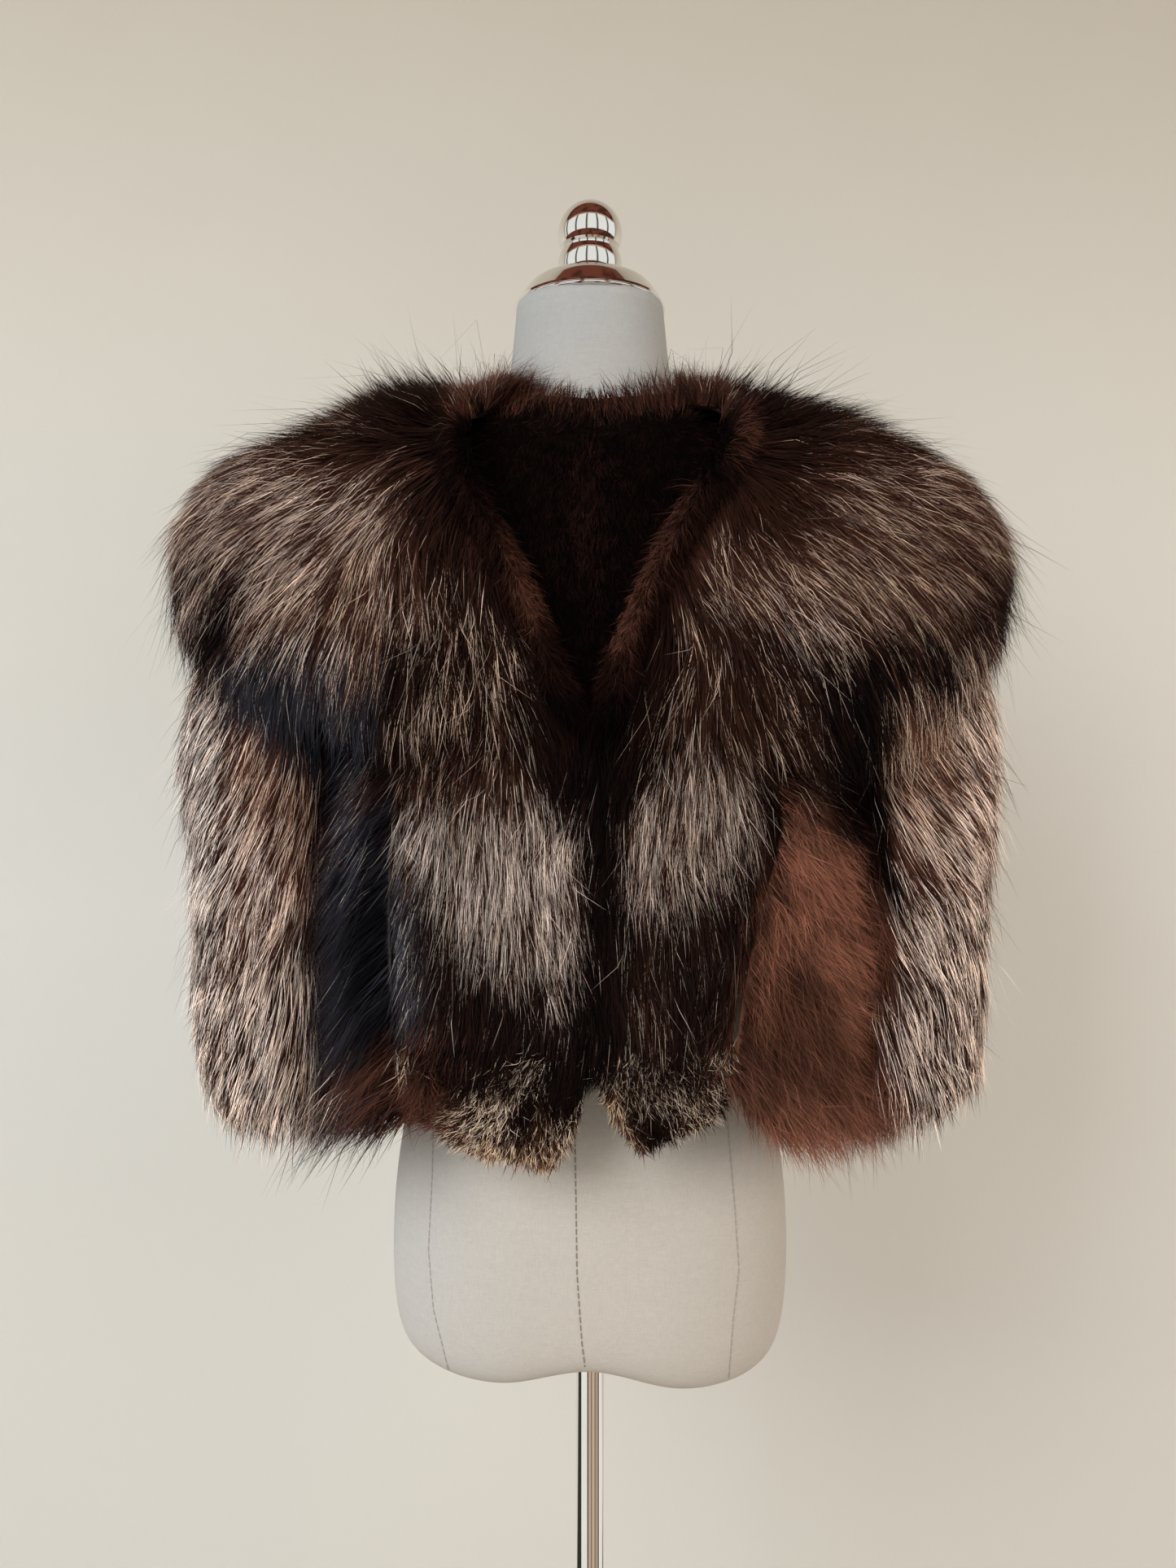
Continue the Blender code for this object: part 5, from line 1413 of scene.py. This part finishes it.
# the form's seams, as they show on the plane that faces the front; the back has the same ones
# faint is the side seams' line, a little darker than the linen: the seams are real, and the darker tone is
# painted shade along their ridges
seamLook = {
    "thread": (0.30, 0.25, 0.20), "faint": (0.54, 0.48, 0.42), "darker": 0.75,
    "half": 0.00042, "step": 0.0016, "height": 0.0004, "every": 4, "gap": 0.02,
}
seamLines = [
    ("thread", [(-0.0117, 0.86), (-0.0117, 0.801), (-0.0104, 0.708), (-0.0065, 0.654),
        (-0.004, 0.634)]),
    ("faint", [(-0.125, 0.84), (-0.1257, 0.793), (-0.129, 0.728), (-0.125, 0.68), (-0.113, 0.632),
        (-0.111, 0.616)]),
    ("faint", [(0.105, 0.86), (0.1105, 0.821), (0.1157, 0.761), (0.119, 0.712), (0.1144, 0.672),
        (0.1105, 0.62)]),
]


def seamMaterial(name, colour):
    paint = Paint(name, Roughness=0.9)
    twist = paint.noise(paint.objectPlace(), 900, 2)
    return paint.feed(Base_Color=paint.mix(twist, [seamLook["darker"] * c for c in colour], colour))


def seamMesh(name, whole):
    # stitches laid on the form wherever a look through the plane meets it
    tree = BVHTree.FromPolygons([v.co for v in whole.vertices], [list(p.vertices) for p in whole.polygons])
    shape = bmesh.new()
    for eye in (Vector(eyeAt), Vector((eyeAt[0], -eyeAt[1], eyeAt[2]))):
        for look, line in seamLines:
            line = np.array(line)
            run = np.concatenate([[0], np.cumsum(np.linalg.norm(np.diff(line, axis=0), axis=1))])
            places = np.arange(0, run[-1], seamLook["step"])
            spots = []
            for x, z in zip(np.interp(places, run, line[:, 0]), np.interp(places, run, line[:, 1])):
                place, normal = tree.ray_cast(eye, Vector((x, 0, z)) - eye)[:2]
                if place:
                    spots.append((place + normal * seamLook["height"], normal))
            for at, ((a, up), (b, _)) in enumerate(zip(spots, spots[1:])):
                if (at + 1) % seamLook["every"] == 0 or (b - a).length > seamLook["gap"]:
                    continue
                side = (b - a).cross(up).normalized() * seamLook["half"]
                corners = (a - side, a + side, b + side, b - side)
                face = shape.faces.new([shape.verts.new(v) for v in corners])
                face.material_index = ["thread", "faint"].index(look)
    return asMesh(name, shape)


seams = newObject("form_seams", seamMesh("form_seams", form.data))
for look in ("thread", "faint"):
    seams.data.materials.append(seamMaterial(look + "Seam", seamLook[look]))
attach(seams, "root")
print("seams done")


# plated metal

chromeLook = {
    "dull": (0.80, 0.78, 0.75), "bright": (0.90, 0.88, 0.86), "haze": 35, "wipe": 300,
    "rough": (0.035, 0.03, 0.02), "relief": (0.01, 0.0004), "sides": 96, "edge": 0.0008, "sharpFrom": 35,
}


def chromeMaterial():
    paint = Paint("polishedChrome", Metallic=1.0)
    haze = paint.noise(paint.objectPlace(), chromeLook["haze"], 3)
    wipe = paint.noise(paint.objectPlace((1, 1, 0.2)), chromeLook["wipe"], 2)
    colour = paint.mix(haze, chromeLook["dull"], chromeLook["bright"])
    least, hazy, wiped = chromeLook["rough"]
    rough = least + hazy * haze + wiped * wipe
    return paint.feed(Base_Color=colour, Roughness=rough, Normal=paint.bump(wipe, *chromeLook["relief"]))


def turned(name, profile):
    # a round piece spun from its profile, whose first and last points may lie on the axis
    steps = chromeLook["sides"]
    rings, verts, faces = [], [], []
    for r, z in profile:
        if r < 1e-6:
            rings.append([len(verts)] * steps)
            verts.append((0, 0, z))
            continue
        rings.append(list(range(len(verts), len(verts) + steps)))
        for i in range(steps):
            turn = math.tau * i / steps
            verts.append((r * math.cos(turn), r * math.sin(turn), z))
    for low, high in zip(rings, rings[1:]):
        for i in range(steps):
            corners = list(dict.fromkeys((low[i - 1], low[i], high[i], high[i - 1])))
            if len(corners) > 2:
                faces.append(corners)
    mesh = bpy.data.meshes.new(name)
    mesh.from_pydata(verts, [], faces)
    mesh.update()
    shape = bmesh.new()
    shape.from_mesh(mesh)
    bmesh.ops.recalc_face_normals(shape, faces=shape.faces)
    for face in shape.faces:
        face.smooth = True
    shape.to_mesh(mesh)
    shape.free()
    mesh.set_sharp_from_angle(angle=math.radians(chromeLook["sharpFrom"]))
    return newObject(name, mesh)


def arc(radius, centreRadius, centre, start, end, count):
    # part of a circle beside the axis, between two directions in degrees
    turns = [math.radians(start + (end - start) * i / (count - 1)) for i in range(count)]
    return [(centreRadius + radius * math.cos(t), centre + radius * math.sin(t)) for t in turns]


chrome = chromeMaterial()


def fromBox(node):
    low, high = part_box(node)
    return low.z, high.z, high.x


capLow, capHigh, capRadius = fromBox("neck_cap")
ballLow, ballHigh, ballRadius = fromBox("finial")
poleLow, poleHigh, poleRadius = fromBox("pole")
collarLow, collarHigh, collarRadius = fromBox("socket_collar")
baseLow, baseHigh, baseRadius = fromBox("base")
upperBall = ballHigh - ballRadius
lowerBall = upperBall - 0.0255
domeRise = capHigh - capLow
edge, bore = chromeLook["edge"], poleRadius + 0.0003
# the dome's side from its top to its rim, as shares of its radius and height
domeLine = [
    (0, 1), (0.34, 0.996), (0.50, 0.985), (0.60, 0.965), (0.68, 0.935), (0.735, 0.895), (0.785, 0.84),
    (0.825, 0.765), (0.862, 0.665), (0.896, 0.545), (0.930, 0.42), (0.962, 0.30), (0.995, 0.17),
]
# each piece's node and its profile, by distance from the axis and height
chromeParts = {
    "neck_dome": (
        "neck_cap",
        [(capRadius * r, capLow + domeRise * z) for r, z in domeLine]
        + arc(0.0018, capRadius - 0.0012, capLow + 0.0006, 80, -80, 9)
        + [(capRadius - 0.006, capLow - 0.0010), (0, capLow)],
    ),
    "finial_balls": (
        "finial",
        arc(ballRadius, 0, upperBall, 90, -24, 30)
        + arc(0.0022, 0.0218, (upperBall + lowerBall) / 2, 150, 210, 3)
        + arc(ballRadius, 0, lowerBall, 24, -30, 16)
        + [(0.0212, ballLow + 0.001), (0.0205, ballLow), (0, ballLow)],
    ),
    "pole_tube": (
        "pole",
        [(0, poleHigh), (poleRadius - edge, poleHigh), (poleRadius, poleHigh - edge)]
        + [(poleRadius, poleLow + edge), (poleRadius - edge, poleLow), (0, poleLow)],
    ),
    "pole_collar": (
        "socket_collar",
        [(bore, collarLow), (bore, collarHigh)]
        + arc(0.004, collarRadius - 0.004, collarHigh - 0.004, 90, 0, 8)
        + [(collarRadius, collarLow), (bore, collarLow)],
    ),
    "stand_base": (
        "base",
        [(0, baseHigh), (0.030, baseHigh), (baseRadius * 0.6, baseHigh - 0.0015)]
        + [(baseRadius - 0.012, baseHigh - 0.0052)]
        + arc(0.0035, baseRadius - 0.0035, baseHigh - 0.0095, 75, 0, 7)
        + [(baseRadius, edge), (baseRadius - edge, 0), (0, 0)],
    ),
}
for name, (node, profile) in chromeParts.items():
    piece = turned(name, profile)
    piece.data.materials.append(chrome)
    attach(piece, "root")
    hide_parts(node)
print("metal done")


# stage, light and camera

# wallHigh is the wall's darker colour high up, painted shade; it starts at darkensFrom and is full darkensOver
# higher
stageLook = {
    "wallAt": 0.52, "half": 4.0, "wall": (0.835, 0.79, 0.71), "wallHigh": (0.53, 0.46, 0.365),
    "floor": (0.66, 0.62, 0.56), "darkensFrom": 0.95, "darkensOver": 1.25, "mottle": 0.08,
}


def stageMaterial(name, colour, high, seeThroughBack):
    paint = Paint(name)
    mottle = paint.noise(paint.objectPlace(), 5, 4, 0.6)
    grain = paint.noise(paint.objectPlace(), 260, 3)
    # painted shade: the wall darkens towards its top
    climb = (paint.axis(paint.objectPlace(), "Z") - stageLook["darkensFrom"]) / stageLook["darkensOver"]
    share = (climb + stageLook["mottle"] * (mottle - 0.5)).clamped()
    bump = paint.bump(grain, 0.15, 0.001)
    paint.feed(Base_Color=paint.mix(share, colour, high), Roughness=0.9, Normal=bump)
    if seeThroughBack:
        # the wall isn't seen from behind
        clear = paint.add("ShaderNodeBsdfTransparent")
        back = paint.add("ShaderNodeNewGeometry", output="Backfacing")
        solid = Value(paint, paint.surface.outputs[0])
        shown = paint.add("ShaderNodeMixShader", {}, {0: back, 1: solid, 2: clear})
        paint.join(paint.tree.nodes["Material Output"].inputs["Surface"], shown)
    return paint.material


def plane(name, corners, material):
    mesh = bpy.data.meshes.new(name)
    mesh.from_pydata(corners, [], [(0, 1, 2, 3)])
    mesh.materials.append(material)
    made = newObject(name, mesh)
    return made


half, wallAt = stageLook["half"], stageLook["wallAt"]
floor = plane(
    "floor",
    [(-half, -half, 0), (half, -half, 0), (half, wallAt, 0), (-half, wallAt, 0)],
    stageMaterial("paleFloor", stageLook["floor"], stageLook["floor"], False),
)
floor.visible_glossy = False
plane(
    "backdrop",
    [(-half, wallAt, 0), (half, wallAt, 0), (half, wallAt, half), (-half, wallAt, half)],
    stageMaterial("paleWall", stageLook["wall"], stageLook["wallHigh"], True),
)

lamps = {
    "keyLamp": {
        "at": (-1.7, -2.1, 2.3), "to": (0, 0, 1.15), "size": 1.8, "power": 66, "tint": (0.87, 0.94, 1.0),
    },
    "fillLamp": {
        "at": (2.0, -1.6, 1.6), "to": (0, 0, 1.1), "size": 1.6, "power": 25, "tint": (1.0, 0.93, 0.84),
    },
}
for name, lamp in lamps.items():
    light = bpy.data.lights.new(name, "AREA")
    light.size, light.energy, light.color = lamp["size"], lamp["power"], lamp["tint"]
    made = newObject(name, light)
    made.visible_glossy = False
    made.location = lamp["at"]
    made.rotation_euler = (Vector(lamp["to"]) - made.location).to_track_quat("-Z", "Y").to_euler()

# what the metal shows: a brown ceiling, a cornice, a row of windows with bars, brown below them, then
# strips of a lit floor. Each starts so far up, and each strip at a share of a turn.
worldLook = {
    "light": (0.90, 0.90, 0.92), "strength": 0.40, "shown": (0.66, 0.60, 0.52),
    "ceiling": ((0.05, 0.02, 0.014), (0.36, 0.115, 0.07)),
    "beams": 3.5, "beamEdge": (0.46, 0.54, 0.35, 1.0),
    "window": (2.1, 2.15, 2.1), "bar": (0.30, 0.28, 0.22), "bars": (1.5, 20.4, 0.17),
    "cornice": (1.1, 0.7, 0.48), "climb": (0.45, 0.55),
    "brownFrom": -0.34, "windowFrom": -0.03, "corniceFrom": 0.91, "ceilingFrom": 1.02,
    "strips": [
        (0.0, (0.10, 0.09, 0.07)), (0.285, (2.2, 2.2, 2.1)), (0.43, (0.10, 0.08, 0.06)),
        (0.46, (1.4, 1.05, 0.78)), (0.52, (0.5, 0.34, 0.24)), (0.545, (1.5, 1.2, 0.9)),
        (0.60, (0.7, 0.5, 0.36)), (0.635, (1.2, 0.9, 0.66)), (0.69, (0.12, 0.09, 0.07)),
        (0.715, (2.2, 2.15, 2.0)), (0.84, (0.10, 0.08, 0.06)),
    ],
}
world = bpy.data.worlds.new("softRoom")
bpy.context.scene.world = world
world.use_nodes = True
world.node_tree.nodes.clear()
sky = Nodes(world.node_tree)
towards = sky.add("ShaderNodeTexCoord", output="Generated")
east, north, up = (sky.axis(towards, axis) for axis in "XYZ")
turn = sky.math("ARCTAN2", east, north * -1.0)
often, start, width = worldLook["bars"]
bars = sky.math("LESS_THAN", sky.math("FRACT", turn * often + start), width)
windows = sky.mix(bars, worldLook["window"], worldLook["bar"])
beams = sky.add("ShaderNodeTexNoise", {}, {"Vector": towards, "Scale": worldLook["beams"]})
beams = sky.add("ShaderNodeMapRange", {}, dict(enumerate((beams, *worldLook["beamEdge"]))))
ceiling = sky.mix(beams, *worldLook["ceiling"])
room = sky.add("ShaderNodeValToRGB", {"stops": worldLook["strips"]}, {0: turn * (1 / math.tau) + 0.5})
ahead = sky.math("MAXIMUM", north * -1.0, 0.0)
tilt, level = worldLook["climb"]
climb = up / (ahead * tilt + level)
for height, key, above in (
    (up, "brownFrom", ceiling),
    (up, "windowFrom", windows),
    (climb, "corniceFrom", worldLook["cornice"]),
    (climb, "ceilingFrom", ceiling),
):
    room = sky.mix(sky.math("GREATER_THAN", height, worldLook[key]), room, above)
glossy, direct = (sky.add("ShaderNodeLightPath", output=f"Is {ray} Ray") for ray in ("Glossy", "Camera"))
around = sky.mix(glossy, worldLook["light"], room)
lit = sky.add("ShaderNodeBackground", {}, {"Color": around, "Strength": worldLook["strength"]})
shown = sky.add("ShaderNodeBackground", {}, {"Color": worldLook["shown"], "Strength": 1.0})
mixed = sky.add("ShaderNodeMixShader", {}, {0: direct, 1: lit, 2: shown})
sky.add("ShaderNodeOutputWorld", {}, {"Surface": mixed})

cameraLook = {"lens": 27.02, "shift": -0.0013, "sensor": 36, "nearest": 0.02}
camera = bpy.data.cameras.new("camera")
camera.lens, camera.shift_x = cameraLook["lens"], cameraLook["shift"]
camera.sensor_width, camera.clip_start = cameraLook["sensor"], cameraLook["nearest"]
eye = newObject("camera", camera)
eye.location = eyeAt
eye.rotation_euler = (math.radians(90), 0, 0)
bpy.context.scene.camera = eye
bpy.context.scene.view_settings.view_transform = "Standard"
print("stage done")
